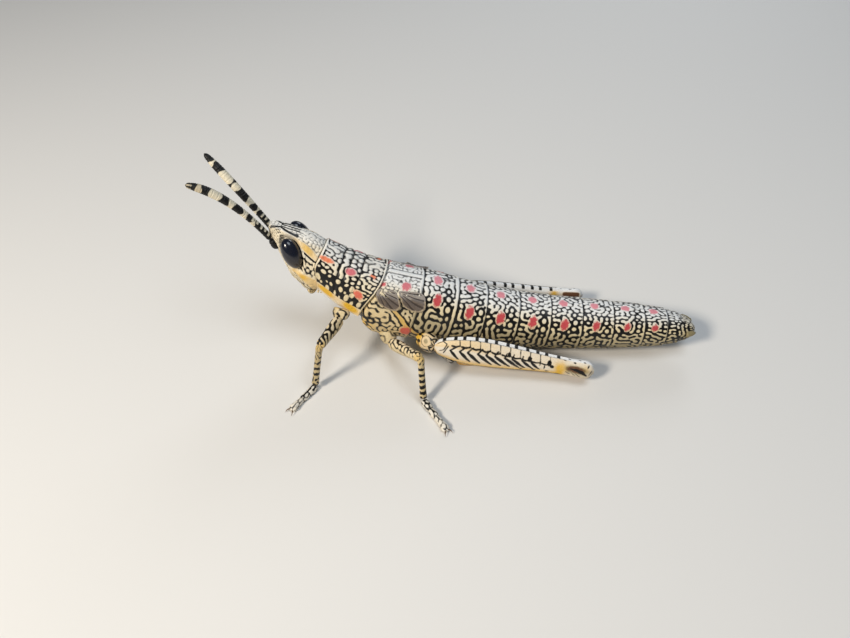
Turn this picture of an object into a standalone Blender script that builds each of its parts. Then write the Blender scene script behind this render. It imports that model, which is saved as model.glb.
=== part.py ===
# Painted grasshopper nymph, standing on six feet. Head toward -X, left side toward -Y, floor at z = 0.
# All driving dimensions are in millimetres, and are turned to metres as each mesh is made.
import math

import bpy
from mathutils import Vector

# Placing of the whole animal in its box
SHIFT_X = -2.728
SHIFT_Y = 1.164
GAP = 0.022
SIDES = 20

# Trunk stations: x, z and y of the axis, pitch, yaw, half width, height above, depth below, squareness
TRUNK = (
    (22.15, 2.30, 0.00, 0.0, 0.0, 0.34, 0.30, 0.26, 1.00),
    (21.75, 2.32, 0.00, 0.0, 0.0, 0.84, 0.72, 0.62, 1.00),
    (21.00, 2.33, 0.00, 1.0, 0.0, 1.20, 1.14, 1.02, 1.00),
    (19.50, 2.36, 0.00, 2.0, 0.0, 1.54, 1.58, 1.46, 0.98),
    (17.60, 2.40, 0.00, 2.0, 0.0, 1.74, 1.84, 1.70, 0.96),
    (15.10, 2.42, 0.00, 2.0, 0.0, 1.92, 2.04, 1.88, 0.96),
    (12.60, 2.45, 0.00, 4.0, 0.0, 2.06, 2.18, 2.00, 0.96),
    (10.00, 2.55, 0.00, 7.0, 0.0, 2.17, 2.30, 2.12, 0.96),
    (7.40, 2.78, 0.00, 9.0, 0.0, 2.25, 2.42, 2.26, 0.95),
    (4.85, 3.18, 0.00, 11.0, 0.0, 2.32, 2.54, 2.40, 0.93),
    (2.60, 3.62, 0.00, 13.0, 0.0, 2.38, 2.68, 2.52, 0.90),
    (0.30, 4.12, 0.00, 14.0, 0.0, 2.42, 2.86, 2.92, 0.84),
    (-1.50, 4.56, 0.03, 16.0, 1.5, 2.42, 2.82, 3.34, 0.82),
    (-3.20, 5.10, 0.10, 20.0, 4.0, 2.36, 2.70, 3.60, 0.80),
    (-3.70, 5.30, 0.14, 22.0, 5.0, 2.31, 2.64, 3.30, 0.81),
    (-4.20, 5.50, 0.18, 24.0, 6.0, 2.26, 2.56, 2.72, 0.82),
    (-6.30, 6.60, 0.40, 24.5, 7.0, 2.00, 2.28, 2.46, 0.86),
    (-8.40, 7.84, 0.66, 24.0, 7.0, 1.74, 2.08, 2.10, 0.90),
    (-9.20, 8.32, 0.76, 24.0, 7.0, 1.66, 1.96, 2.00, 0.90),
)

# Abdomen joints along the axis, from the thorax to the tail
ABDOMEN_JOINTS = (-0.80, 2.10, 4.52, 7.25, 9.85, 12.50, 15.08, 17.60, 19.55, 20.75)
ABDOMEN_STEP = 0.085
TAIL_END = 22.15
THORAX_JOINT = -2.72
MESO_FRONT = -4.42
CUTTER_GROW = 0.06

# Mesothorax rings, the front ones tucked in: share of its length, growth, share of the collar's sweep
MESOTHORAX = (
    (0.0, -0.06, 0.0), (0.10, -0.02, 0.1), (0.45, -0.04, 0.6),
    (0.62, -0.10, 0.9), (0.68, -0.42, 1.0), (1.0, -0.44, 1.0),
)

# Pronotum
PRONOTUM_REAR = -3.98
PRONOTUM_FRONT = -8.46
PRONOTUM_WALL = 0.30
COLLAR_FRONT = (
    (-1.0, 0.0), (0.0, 0.0), (0.6, -0.06), (1.2, -0.07), (2.0, 0.28), (2.8, 0.60), (3.6, 0.80), (6.0, 1.30),
)
COLLAR_REAR = (
    (-1.0, 0.0), (0.0, 0.0), (1.0, -0.20), (2.0, -0.44),
    (3.0, -0.56), (4.0, -0.50), (4.5, -0.36), (5.2, 0.02), (6.5, 0.15),
)
PRONOTUM_STEPS = 14
LOBE_REAR = 117.0
LOBE_FRONT = 138.0
LOBE_BULGE = 3.5
CORNER_ROUND = 8.5

# Relief of the plate: share of its length from the rear, growth over the trunk; the dips are furrows
PRONOTUM_RELIEF = (
    (0.0, -0.06), (0.05, 0.05), (0.34, 0.0), (0.38, -0.04), (0.42, 0.0),
    (0.66, 0.0), (0.70, -0.04), (0.74, 0.0), (0.95, 0.0), (1.0, -0.07),
)

# Head, in its own frame: distance ahead of the occiput, top, bottom, half widths at top, middle and bottom
HEAD_TOP_REAR = (-7.68, 0.69, 9.83)
HEAD_PITCH = 23.5
HEAD_YAW = 7.0
HEAD = (
    (0.00, 0.06, 4.50, 0.98, 1.66, 1.00),
    (0.45, -0.06, 5.24, 1.00, 1.70, 0.96),
    (1.00, -0.12, 4.78, 0.98, 1.66, 0.98),
    (1.60, -0.10, 4.12, 0.88, 1.52, 0.92),
    (2.20, -0.05, 3.44, 0.78, 1.28, 0.82),
    (2.80, 0.02, 2.74, 0.70, 1.02, 0.68),
    (3.40, 0.10, 2.04, 0.60, 0.80, 0.52),
    (3.90, 0.17, 1.44, 0.48, 0.60, 0.38),
    (4.25, 0.26, 0.98, 0.32, 0.38, 0.22),
    (4.38, 0.38, 0.76, 0.15, 0.19, 0.11),
)
HEAD_SIDES = 22
EYE_AT = (2.03, 1.27, 1.19)
EYE_SEMI = (1.22, 0.72, 0.68)
EYE_SLOPE = 47.0
EYE_TOE = 12.0
LABRUM_AT = (-0.86, 4.92)

# Feelers: root on the animal's left, mirrored across the head for the right; middle and tip of each
ANTENNA_ROOT = (3.24, 0.47, 1.90)
ANTENNA_MIDDLE = (-13.95, 0.10, 13.62)
ANTENNA_TIP = (-16.70, -0.40, 15.60)
ANTENNA_MIDDLE_RIGHT = (-13.61, 2.30, 12.58)
ANTENNA_TIP_RIGHT = (-16.50, 3.73, 15.49)
ANTENNA_JOINTS = 13
ANTENNA_WIDTH = (0.66, 0.60, 0.56, 0.50)

# Wing pads: each outline as (x on the axis, degrees from the top line)
PAD_WALL = 0.50
PAD_LIFT = 0.03
FORE_PAD = (
    (-4.06, 44.0), (-3.60, 41.0), (-3.10, 39.0), (-2.78, 41.0), (-2.52, 49.0), (-2.27, 58.0),
    (-2.14, 66.0), (-2.28, 72.5), (-2.72, 75.0), (-3.26, 73.0), (-3.76, 68.5), (-4.06, 60.0), (-4.14, 51.0),
)
HIND_PAD = (
    (-2.56, 38.0), (-2.00, 34.5), (-1.30, 32.0), (-0.78, 33.0), (-0.50, 39.0), (-0.38, 48.0),
    (-0.32, 57.5), (-0.48, 64.5), (-0.92, 67.5), (-1.40, 66.5), (-1.86, 63.0), (-2.14, 57.0), (-2.36, 48.0),
)

# Legs of the animal's left: coxa root, trochanter, knee, ankle, toe
FORE_LEFT = (
    (-6.55, -1.35, 4.75), (-6.72, -1.95, 4.12),
    (-7.80, -5.22, 4.55), (-8.52, -5.78, 0.52), (-10.10, -8.20, 0.27),
)
MID_LEFT = (
    (-3.10, -1.45, 2.60), (-2.72, -2.15, 1.72),
    (-0.12, -5.35, 3.70), (0.18, -6.80, 0.52), (2.12, -9.60, 0.27),
)
HIND_LEFT = (
    (0.00, -1.95, 2.20), (0.90, -3.14, 2.62), (13.60, -4.24, 1.46), (2.75, -2.95, 0.33), (1.15, -1.30, 0.27),
)

# Legs of the animal's right
FORE_RIGHT = (
    (-6.55, 1.95, 4.75), (-6.62, 2.40, 4.12), (-6.70, 5.05, 4.60), (-7.55, 5.10, 0.52), (-8.60, 7.30, 0.27),
)
MID_RIGHT = (
    (-3.08, 1.52, 2.63), (-2.72, 2.22, 1.75), (-0.55, 4.70, 3.70), (-0.20, 5.10, 0.52), (1.75, 6.55, 0.27),
)
HIND_RIGHT = (
    (0.00, 1.95, 2.30), (0.90, 3.14, 2.82), (13.60, 4.24, 1.60), (2.75, 2.95, 0.33), (1.15, 1.30, 0.27),
)

# Coxa thickness: share of the length, half width
WALK_COXA = ((0.0, 0.66), (0.45, 0.70), (0.85, 0.56), (1.0, 0.40))
HIND_COXA = ((-0.1, 0.84), (0.4, 0.92), (0.8, 0.74), (1.0, 0.46))

# Leg thickness: share of the length, half depth, half width
WALK_FEMUR = (
    (0.0, 0.32, 0.30), (0.10, 0.52, 0.44), (0.35, 0.56, 0.46),
    (0.72, 0.46, 0.38), (0.92, 0.43, 0.36), (1.0, 0.30, 0.27),
)
WALK_TIBIA = (
    (0.0, 0.25, 0.25), (0.06, 0.30, 0.28), (0.20, 0.26, 0.26),
    (0.80, 0.26, 0.26), (0.94, 0.29, 0.29), (1.0, 0.25, 0.25),
)
HIND_FEMUR = (
    (0.0, 0.46, 0.34), (0.035, 0.72, 0.46), (0.10, 0.98, 0.56),
    (0.20, 1.22, 0.62), (0.33, 1.26, 0.62), (0.50, 1.08, 0.56),
    (0.66, 0.84, 0.48), (0.80, 0.68, 0.42), (0.89, 0.64, 0.42), (0.95, 0.66, 0.44), (1.0, 0.40, 0.28),
)
HIND_TIBIA = (
    (0.0, 0.27, 0.27), (0.05, 0.36, 0.30), (0.14, 0.28, 0.26),
    (0.80, 0.27, 0.27), (0.95, 0.34, 0.32), (1.0, 0.28, 0.26),
)
TARSUS = (
    (0.0, 0.16, 0.24), (0.05, 0.30, 0.29), (0.26, 0.30, 0.30),
    (0.31, 0.24, 0.24), (0.36, 0.29, 0.28), (0.50, 0.29, 0.28),
    (0.55, 0.24, 0.22), (0.62, 0.26, 0.23), (0.84, 0.30, 0.29), (0.90, 0.27, 0.34), (1.0, 0.10, 0.20),
)
HIND_LEAN = 16.0
HIND_BOW = 0.12

# Skin colours of the solids
CREAM = (0.62, 0.56, 0.40, 1.0)
BLACK = (0.015, 0.014, 0.013, 1.0)
EYE_DARK = (0.012, 0.014, 0.022, 1.0)
PAD_GREY = (0.16, 0.14, 0.13, 1.0)
LIMB_CREAM = (0.66, 0.58, 0.38, 1.0)
AMBER = (0.46, 0.22, 0.05, 1.0)


def clearScene():
    for item in list(bpy.data.objects):
        bpy.data.objects.remove(item, do_unlink=True)


def newCollection(name):
    made = bpy.data.collections.new(name)
    bpy.context.scene.collection.children.link(made)
    return made


clearScene()
bpy.context.scene.unit_settings.system = "METRIC"
bpy.context.scene.unit_settings.scale_length = 1.0
PARTS = newCollection("parts")
CUTTERS = newCollection("cutters")
MATERIALS = {}


def material(name, colour, roughness):
    if name not in MATERIALS:
        made = bpy.data.materials.new(name)
        made.use_nodes = True
        shader = made.node_tree.nodes["Principled BSDF"]
        shader.inputs["Base Color"].default_value = colour
        shader.inputs["Roughness"].default_value = roughness
        made.diffuse_color = colour
        MATERIALS[name] = made
    return MATERIALS[name]


def makeMesh(name, points, faces, look, cutter=False):
    mesh = bpy.data.meshes.new(name)
    moved = [((p[0] + SHIFT_X) * 0.001, (p[1] + SHIFT_Y) * 0.001, p[2] * 0.001) for p in points]
    mesh.from_pydata(moved, [], faces)
    mesh.update()
    made = bpy.data.objects.new(name, mesh)
    if cutter:
        CUTTERS.objects.link(made)
        made.hide_render = True
        made.display_type = "WIRE"
    else:
        PARTS.objects.link(made)
        mesh.materials.append(look)
    return made


def ladder(count, closed):
    """End cap of a ring as rungs from one flank to the other, so that a curved end keeps its profile."""
    if not closed:
        return [(k, k + 1, count - 2 - k, count - 1 - k) for k in range(count // 2 - 1)]
    half = count // 2
    rungs = [(k, k + 1, count - k - 1, count - k) for k in range(1, half - 1)]
    return [(0, 1, count - 1)] + rungs + [(half - 1, half, half + 1)]


def loft(name, rings, look, cutter=False, closed=True):
    """Solid through rings of equal even count. An open ring runs out on one face and back on the other."""
    count = len(rings[0])
    points = [p for ring in rings for p in ring]
    faces = []
    for i in range(len(rings) - 1):
        for k in range(count):
            a = i * count + k
            b = i * count + (k + 1) % count
            faces.append((a, b, b + count, a + count))
    first = ladder(count, closed)
    last = (len(rings) - 1) * count
    faces += [tuple(reversed(face)) for face in first]
    faces += [tuple(last + i for i in face) for face in first]
    if signedVolume(points, faces) < 0.0:
        faces = [tuple(reversed(face)) for face in faces]
    return makeMesh(name, points, faces, look, cutter)


def signedVolume(points, faces):
    total = 0.0
    for face in faces:
        a = Vector(points[face[0]])
        for i in range(1, len(face) - 1):
            total += a.dot(Vector(points[face[i]]).cross(Vector(points[face[i + 1]])))
    return total / 6.0


def cut(target, cutter, name):
    step = target.modifiers.new(name, "BOOLEAN")
    step.operation = "DIFFERENCE"
    step.solver = "EXACT"
    step.object = cutter


def readTable(table, x):
    """Smooth reading of a table whose first column falls or rises steadily."""
    rows = table if table[0][0] < table[-1][0] else table[::-1]
    x = min(max(x, rows[0][0]), rows[-1][0])
    i = 0
    while i < len(rows) - 2 and x > rows[i + 1][0]:
        i += 1
    span = rows[i + 1][0] - rows[i][0]
    t = (x - rows[i][0]) / span
    out = []
    for c in range(1, len(rows[0])):
        a = rows[i][c]
        b = rows[i + 1][c]
        before = slopeAt(rows, i, c)
        after = slopeAt(rows, i + 1, c)
        h00 = 2 * t**3 - 3 * t**2 + 1
        h10 = t**3 - 2 * t**2 + t
        h01 = -2 * t**3 + 3 * t**2
        h11 = t**3 - t**2
        out.append(h00 * a + h10 * span * before + h01 * b + h11 * span * after)
    return out


def slopeAt(rows, i, c):
    low = max(i - 1, 0)
    high = min(i + 1, len(rows) - 1)
    return (rows[high][c] - rows[low][c]) / (rows[high][0] - rows[low][0])


def signedPower(value, power):
    return math.copysign(abs(value) ** power, value)


def trunkFrame(x):
    z, y, pitch, yaw, wide, high, deep, power = readTable(TRUNK, x)
    p = math.radians(pitch)
    q = math.radians(yaw)
    ahead = Vector((-math.cos(p) * math.cos(q), math.cos(p) * math.sin(q), math.sin(p)))
    left = Vector((-math.sin(q), -math.cos(q), 0.0))
    up = left.cross(ahead) * -1.0
    return Vector((x, y, z)), ahead, left, up, wide, high, deep, power


def edgeSweep(edge, fall):
    """How far an edge of the pronotum lies behind its top point, at this depth below the top line."""
    return readTable(edge, fall)[0]


def trunkPoint(x, degrees, grow=0.0, shear=(0.0, 0.0)):
    """Point of the trunk's skin; degrees run from the top line round the left side."""
    centre, ahead, left, up, wide, high, deep, power = trunkFrame(x)
    angle = math.radians(degrees)
    across = signedPower(math.sin(angle), power) * (wide + grow)
    tall = signedPower(math.cos(angle), power)
    rise = tall * ((high if tall > 0 else deep) + grow)
    fall = high - rise
    back = shear[0] * edgeSweep(COLLAR_REAR, fall) + shear[1] * edgeSweep(COLLAR_FRONT, fall)
    return centre + left * across + up * rise - ahead * back


def trunkRing(x, grow=0.0, shear=(0.0, 0.0)):
    return [trunkPoint(x, 360.0 * k / SIDES, grow, shear) for k in range(SIDES)]


def blend(a, b, t):
    return a + (b - a) * t


cream = material("body_skin", CREAM, 0.45)
black = material("antenna_skin", BLACK, 0.5)
eyeDark = material("eye_skin", EYE_DARK, 0.12)
padGrey = material("pad_skin", PAD_GREY, 0.5)
limbCream = material("leg_skin", LIMB_CREAM, 0.45)
amber = material("hind_tibia_skin", AMBER, 0.45)
plateCream = material("pronotum_skin", CREAM, 0.4)


# Abdomen rings
def buildAbdomen():
    for i in range(len(ABDOMEN_JOINTS) - 1):
        x0 = ABDOMEN_JOINTS[i] + GAP
        x1 = ABDOMEN_JOINTS[i + 1] - GAP
        rings = [
            trunkRing(x0, -ABDOMEN_STEP),
            trunkRing(blend(x0, x1, 0.18), -0.35 * ABDOMEN_STEP),
            trunkRing(blend(x0, x1, 0.60), 0.0),
            trunkRing(blend(x0, x1, 0.94), 0.02),
            trunkRing(x1, -0.03),
        ]
        loft("abdomen_%d" % (i + 1), rings, cream)
    x0 = ABDOMEN_JOINTS[-1] + GAP
    shrink = ((0.0, -0.07), (0.3, -0.02), (0.7, 0.0), (1.0, 0.0))
    loft("abdomen_tip", [trunkRing(blend(x0, TAIL_END, t), g) for t, g in shrink], cream)
    for side, mark in ((1, "L"), (-1, "R")):
        rings = []
        for t, r in ((0.0, 0.25), (0.5, 0.25), (1.0, 0.12)):
            centre = Vector((blend(21.25, 22.10, t), -side * blend(1.16, 0.80, t), blend(2.62, 2.50, t)))
            rings.append(ellipseRing(centre, Vector((1, side * 0.3, 0)), Vector((0, 0, 1)), r, r, 8))
        cercus = loft("cercus_" + mark, rings, cream)
        cut(cercus, CUTTER_TRUNK, "clear of the tail")


def ellipseRing(centre, axis, up, deep, wide, sides, turn=0.0):
    axis = axis.normalized()
    side = axis.cross(up).normalized()
    top = side.cross(axis).normalized()
    ring = []
    for k in range(sides):
        a = 2 * math.pi * k / sides + math.radians(turn)
        ring.append(centre + top * (math.cos(a) * deep) + side * (math.sin(a) * wide))
    return ring


def buildTrunkCutter():
    rings = [trunkRing(max(row[0], PRONOTUM_FRONT), CUTTER_GROW) for row in TRUNK]
    return loft("cutter_trunk", rings, None, cutter=True)


CUTTER_TRUNK = buildTrunkCutter()


# Thorax
def buildThorax():
    x0 = ABDOMEN_JOINTS[0] - GAP
    x1 = THORAX_JOINT + GAP
    shrink = ((0.0, -0.05), (0.06, 0.0), (0.5, 0.0), (0.94, -0.02), (1.0, -0.07))
    loft("metathorax", [trunkRing(blend(x0, x1, t), g) for t, g in shrink], cream)
    x0 = THORAX_JOINT - GAP
    rings = []
    for t, grow, sweep in MESOTHORAX:
        rings.append(trunkRing(blend(x0, MESO_FRONT, t), grow, (sweep, 0.0)))
    loft("mesothorax", rings, cream)


def shearAt(t):
    return 1.0 - t, t


def buildProthorax():
    x0 = MESO_FRONT - 4 * GAP
    x1 = PRONOTUM_FRONT
    rings = []
    for i in range(6):
        t = i / 5.0
        rings.append(trunkRing(blend(x0, x1, t), -PRONOTUM_WALL - 0.06 - 0.10 * t, shearAt(t)))
    return loft("prothorax", rings, cream)


def buildPronotum():
    """Saddle plate: an open shell of even wall, laid over the top and sides of the prothorax."""
    rings = []
    for t, grow in PRONOTUM_RELIEF:
        edge = blend(LOBE_REAR, LOBE_FRONT, t) + LOBE_BULGE * math.sin(math.pi * t)
        edge -= CORNER_ROUND * max(0.0, 1.0 - t / 0.13) ** 2
        edge -= CORNER_ROUND * max(0.0, 1.0 - (1.0 - t) / 0.13) ** 2
        x = blend(PRONOTUM_REAR, PRONOTUM_FRONT, t)
        turns = [blend(-edge, edge, k / PRONOTUM_STEPS) for k in range(PRONOTUM_STEPS + 1)]
        outer = [trunkPoint(x, turn, grow, shearAt(t)) for turn in turns]
        inner = [trunkPoint(x, turn, -PRONOTUM_WALL, shearAt(t)) for turn in turns]
        rings.append(outer + inner[::-1])
    return loft("pronotum", rings, plateCream, closed=False)


# Head
def headFrame():
    p = math.radians(HEAD_PITCH)
    q = math.radians(HEAD_YAW)
    ahead = Vector((-math.cos(p) * math.cos(q), math.cos(p) * math.sin(q), math.sin(p)))
    left = Vector((-math.sin(q), -math.cos(q), 0.0))
    down = left.cross(ahead)
    return Vector(HEAD_TOP_REAR), ahead, left, down


def headPoint(t, across, down):
    origin, ahead, left, below = headFrame()
    return origin + ahead * t + left * across + below * down


def headRing(row, shear, grow=0.0):
    t, top, bottom, wideTop, wideMid, wideLow = row
    top -= grow
    bottom += grow
    wideTop += grow
    wideMid += grow
    wideLow += grow
    ring = []
    for k in range(HEAD_SIDES):
        a = 2 * math.pi * k / HEAD_SIDES
        share = 0.5 - 0.5 * signedPower(math.cos(a), 0.92)
        if share < 0.42:
            wide = blend(wideTop, wideMid, math.sin(0.5 * math.pi * share / 0.42))
        else:
            wide = blend(wideLow, wideMid, math.cos(0.5 * math.pi * (share - 0.42) / 0.58))
        round_ = signedPower(math.sin(a), 0.62)
        drop = blend(top, bottom, share)
        ring.append(headPoint(t - shear * edgeSweep(COLLAR_FRONT, drop), wide * round_, drop))
    return ring


def buildHead():
    fades = [max(0.0, 1.0 - i / 3.0) for i in range(len(HEAD))]
    head = loft("head", [headRing(row, fade) for row, fade in zip(HEAD, fades)], cream)
    rear = (HEAD[0][0] - 0.03,) + HEAD[0][1:]
    hollow = [headRing(row, fade, 0.03) for row, fade in zip((rear,) + HEAD[1:], fades)]
    loft("cutter_head", hollow, None, cutter=True)
    for side, mark in ((1, "L"), (-1, "R")):
        buildEye("eye_" + mark, side, 0.0, False)
        cut(head, buildEye("cutter_eye_" + mark, side, 0.025, True), "socket " + mark)
    return head


def buildEye(name, side, grow, cutter):
    origin, ahead, left, below = headFrame()
    slope = math.radians(EYE_SLOPE)
    long = ahead * -math.cos(slope) + below * math.sin(slope)
    short = ahead * math.sin(slope) + below * math.cos(slope)
    out = left * side
    toe = math.radians(EYE_TOE)
    out = (out * math.cos(toe) - below * math.sin(toe)).normalized()
    centre = headPoint(EYE_AT[0], EYE_AT[2] * side, EYE_AT[1])
    sides = 16
    rows = 8
    rings = []
    for i in range(1, rows):
        a = math.pi * i / rows
        ring = []
        for k in range(sides):
            b = 2 * math.pi * k / sides
            flat = math.sin(a)
            ring.append(
                centre
                + out * (math.cos(a) * (EYE_SEMI[2] + grow))
                + long * (flat * math.cos(b) * (EYE_SEMI[0] + grow))
                + short * (flat * math.sin(b) * (EYE_SEMI[1] + grow))
            )
        rings.append(ring)
    return loft(name, rings, None if cutter else eyeDark, cutter)


def buildMouth():
    rings = []
    for t, wide, deep in ((0.0, 0.62, 0.30), (0.35, 0.78, 0.36), (0.8, 0.66, 0.32), (1.0, 0.40, 0.18)):
        centre = headPoint(LABRUM_AT[0] + 0.55 - 0.55 * t, 0.0, LABRUM_AT[1] + 0.32 + 0.62 * t)
        origin, ahead, left, below = headFrame()
        rings.append(ellipseRing(centre, below - ahead * 0.5, ahead, deep, wide, 12))
    labrum = loft("labrum", rings, cream)
    return labrum


# Feelers
def mirrorAcrossHead(point):
    origin, ahead, left, below = headFrame()
    away = (Vector(point) - origin).dot(left)
    return Vector(point) - left * (2.0 * away)


def buildAntenna(mark, root, middle, tip, head):
    root = Vector(root)
    middle = Vector(middle)
    tip = Vector(tip)
    pull = middle * 2.0 - (root + tip) * 0.5
    up = Vector((0.3, 0.0, 1.0))

    def along(t):
        return root * (1 - t) ** 2 + pull * (2 * t * (1 - t)) + tip * t**2

    axis = (along(0.05) - root).normalized()
    scape = ((-0.10, 0.26), (0.04, 0.37), (0.40, 0.39), (0.60, 0.33))
    loft("scape_" + mark, [ellipseRing(root + axis * d, axis, up, r, r, 12) for d, r in scape], black)
    hollow = ((-0.125, 0.30), (0.04, 0.40), (0.40, 0.42), (0.9, 0.42))
    socket = [ellipseRing(root + axis * d, axis, up, r, r, 12) for d, r in hollow]
    cut(head, loft("cutter_scape_" + mark, socket, None, cutter=True), "feeler socket " + mark)
    first = 0.70 / (tip - root).length
    widths = tuple(zip((0.0, 0.4, 0.8, 1.0), ANTENNA_WIDTH))
    rings = []
    for j in range(ANTENNA_JOINTS):
        for t, g in ((0.06, -0.03), (0.88, 0.01)):
            s = (j + t) / ANTENNA_JOINTS
            u = first + (1.0 - first) * s
            half = readTable(widths, s)[0] * 0.5 + g
            if j == ANTENNA_JOINTS - 1 and t > 0.5:
                half *= 0.55
            ahead = along(u + 0.01) - along(u - 0.01)
            rings.append(ellipseRing(along(u), ahead, up, half * 0.94, half, 8))
    loft("antenna_" + mark, rings, black)


# Wing pads
def buildPad(name, outline, side):
    """Curved plate over the side of the trunk, cut to a closed outline."""
    middle = [sum(p[0] for p in outline) / len(outline), sum(p[1] for p in outline) / len(outline)]
    layers = []
    for share, inset in ((0.0, 0.0), (0.30, 0.0), (0.80, 0.10)):
        grow = PAD_LIFT + share * PAD_WALL
        ring = []
        for x, degrees in outline:
            x = blend(x, middle[0], inset)
            degrees = blend(degrees, middle[1], inset)
            flare = 0.20 * max(0.0, (degrees - 60.0) / 35.0)
            ring.append(trunkPoint(x, degrees * side, grow + flare))
        layers.append(ring)
    points = [p for ring in layers for p in ring]
    count = len(outline)
    low = trunkPoint(middle[0], middle[1] * side, PAD_LIFT + 0.08)
    crown = trunkPoint(middle[0], middle[1] * side, PAD_LIFT + PAD_WALL + 0.10)
    points.extend((low, crown))
    faces = []
    for i in range(len(layers) - 1):
        for k in range(count):
            a = i * count + k
            b = i * count + (k + 1) % count
            faces.append((a, b, b + count, a + count))
    top = (len(layers) - 1) * count
    for k in range(count):
        faces.append(((k + 1) % count, k, len(points) - 2))
        faces.append((top + k, top + (k + 1) % count, len(points) - 1))
    if signedVolume(points, faces) < 0.0:
        faces = [tuple(reversed(face)) for face in faces]
    return makeMesh(name, points, faces, padGrey)


# Legs
def limbRings(start, end, profile, up, sides, bow=0.0, lean=0.0, grow=0.0, spare=0.0):
    axis = (end - start).normalized()
    side = axis.cross(up).normalized()
    top = side.cross(axis).normalized()
    turn = math.radians(lean)
    tilted = top * math.cos(turn) + side * math.sin(turn)
    rings = []
    for share, deep, wide in profile:
        centre = start.lerp(end, share) + tilted * (bow * math.sin(math.pi * share))
        if share == 0.0:
            centre -= axis * spare
        rings.append(ellipseRing(centre, axis, tilted, deep + grow, wide + grow, sides))
    return rings


def floorRing(ring):
    return [Vector((p[0], p[1], max(p[2], 0.0))) for p in ring]


def buildTarsus(name, ankle, toe, look):
    """Three pads and a claw joint, flat underneath where they stand."""
    start = Vector((ankle[0], ankle[1], 0.29))
    end = Vector((toe[0], toe[1], 0.29))
    axis = (end - start).normalized()
    rings = []
    for share, deep, wide in TARSUS:
        centre = start.lerp(end, share)
        centre.z = 0.24 if share > 0.0 else 0.30
        rings.append(floorRing(ellipseRing(centre, axis, Vector((0, 0, 1)), deep, wide, 10, 18.0)))
    return loft(name, rings, look)


def coxaRings(root, base, up, girths, flat):
    axis = (base - root).normalized()
    return [ellipseRing(root.lerp(base, t), axis, up, r, r * flat, 10) for t, r in girths]


def buildWalkingLeg(prefix, mark, joints):
    root, base, knee, ankle, toe = [Vector(p) for p in joints]
    axis = (knee - base).normalized()
    shin = (ankle - knee).normalized()
    rings = coxaRings(root, base, Vector((1, 0, 0.2)), WALK_COXA, 0.9)
    coxa = loft("%s_coxa_%s" % (prefix, mark), rings, limbCream)
    up = Vector((0, 0, 1))
    loft("%s_femur_%s" % (prefix, mark), limbRings(base, knee, WALK_FEMUR, up, 10), limbCream)
    hollow = limbRings(base, knee, WALK_FEMUR, up, 10, grow=0.03, spare=0.04)
    cut(coxa, loft("cutter_%s_femur_%s" % (prefix, mark), hollow, None, cutter=True), "clear of the femur")
    start = knee + shin * 0.46 + axis * 0.08
    loft("%s_tibia_%s" % (prefix, mark), limbRings(start, ankle, WALK_TIBIA, -axis, 10), limbCream)
    buildTarsus("%s_tarsus_%s" % (prefix, mark), ankle, toe, limbCream)
    return coxa


def buildHindLeg(mark, joints):
    root, base, knee, ankle, toe = [Vector(p) for p in joints]
    sideways = 1.0 if knee[1] > 0 else -1.0
    coxa = loft("hind_coxa_" + mark, coxaRings(root, base, Vector((0, 0, 1)), HIND_COXA, 0.85), limbCream)
    lean = math.radians(HIND_LEAN)
    up = Vector((0, -sideways * math.sin(lean), math.cos(lean)))
    femur = loft("hind_femur_" + mark, limbRings(base, knee, HIND_FEMUR, up, 12, HIND_BOW), limbCream)
    hollow = limbRings(base, knee, HIND_FEMUR, up, 12, HIND_BOW, grow=0.03, spare=0.04)
    cut(coxa, loft("cutter_hind_femur_" + mark, hollow, None, cutter=True), "clear of the femur")
    start = Vector((knee[0] - 0.15, knee[1] - sideways * 0.18, 0.42))
    rings = [floorRing(ring) for ring in limbRings(start, ankle, HIND_TIBIA, Vector((0, 0, 1)), 10)]
    tibia = loft("hind_tibia_" + mark, rings, amber)
    cut(tibia, bpy.data.objects["cutter_hind_femur_" + mark], "clear of the femur")
    buildTarsus("hind_tarsus_" + mark, ankle + (toe - ankle).normalized() * 0.42, toe, limbCream)
    return coxa, femur, tibia


buildAbdomen()
buildThorax()
prothorax = buildProthorax()
pronotum = buildPronotum()
head = buildHead()
cut(prothorax, bpy.data.objects["cutter_head"], "clear of the head")
cut(pronotum, bpy.data.objects["cutter_head"], "clear of the head")
buildMouth()
feelerRoot = headPoint(*ANTENNA_ROOT)
buildAntenna("L", feelerRoot, ANTENNA_MIDDLE, ANTENNA_TIP, head)
buildAntenna("R", mirrorAcrossHead(feelerRoot), ANTENNA_MIDDLE_RIGHT, ANTENNA_TIP_RIGHT, head)
for pad, outline in (("fore_pad", FORE_PAD), ("hind_pad", HIND_PAD)):
    buildPad(pad + "_L", outline, 1)
    buildPad(pad + "_R", outline, -1)
for prefix, left, right in (("fore", FORE_LEFT, FORE_RIGHT), ("mid", MID_LEFT, MID_RIGHT)):
    for mark, joints in (("L", left), ("R", right)):
        coxa = buildWalkingLeg(prefix, mark, joints)
        cut(coxa, CUTTER_TRUNK, "clear of the trunk")
for mark, joints in (("L", HIND_LEFT), ("R", HIND_RIGHT)):
    coxa, femur, tibia = buildHindLeg(mark, joints)
    cut(coxa, CUTTER_TRUNK, "clear of the trunk")
    cut(femur, CUTTER_TRUNK, "clear of the trunk")
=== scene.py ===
import math

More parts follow.
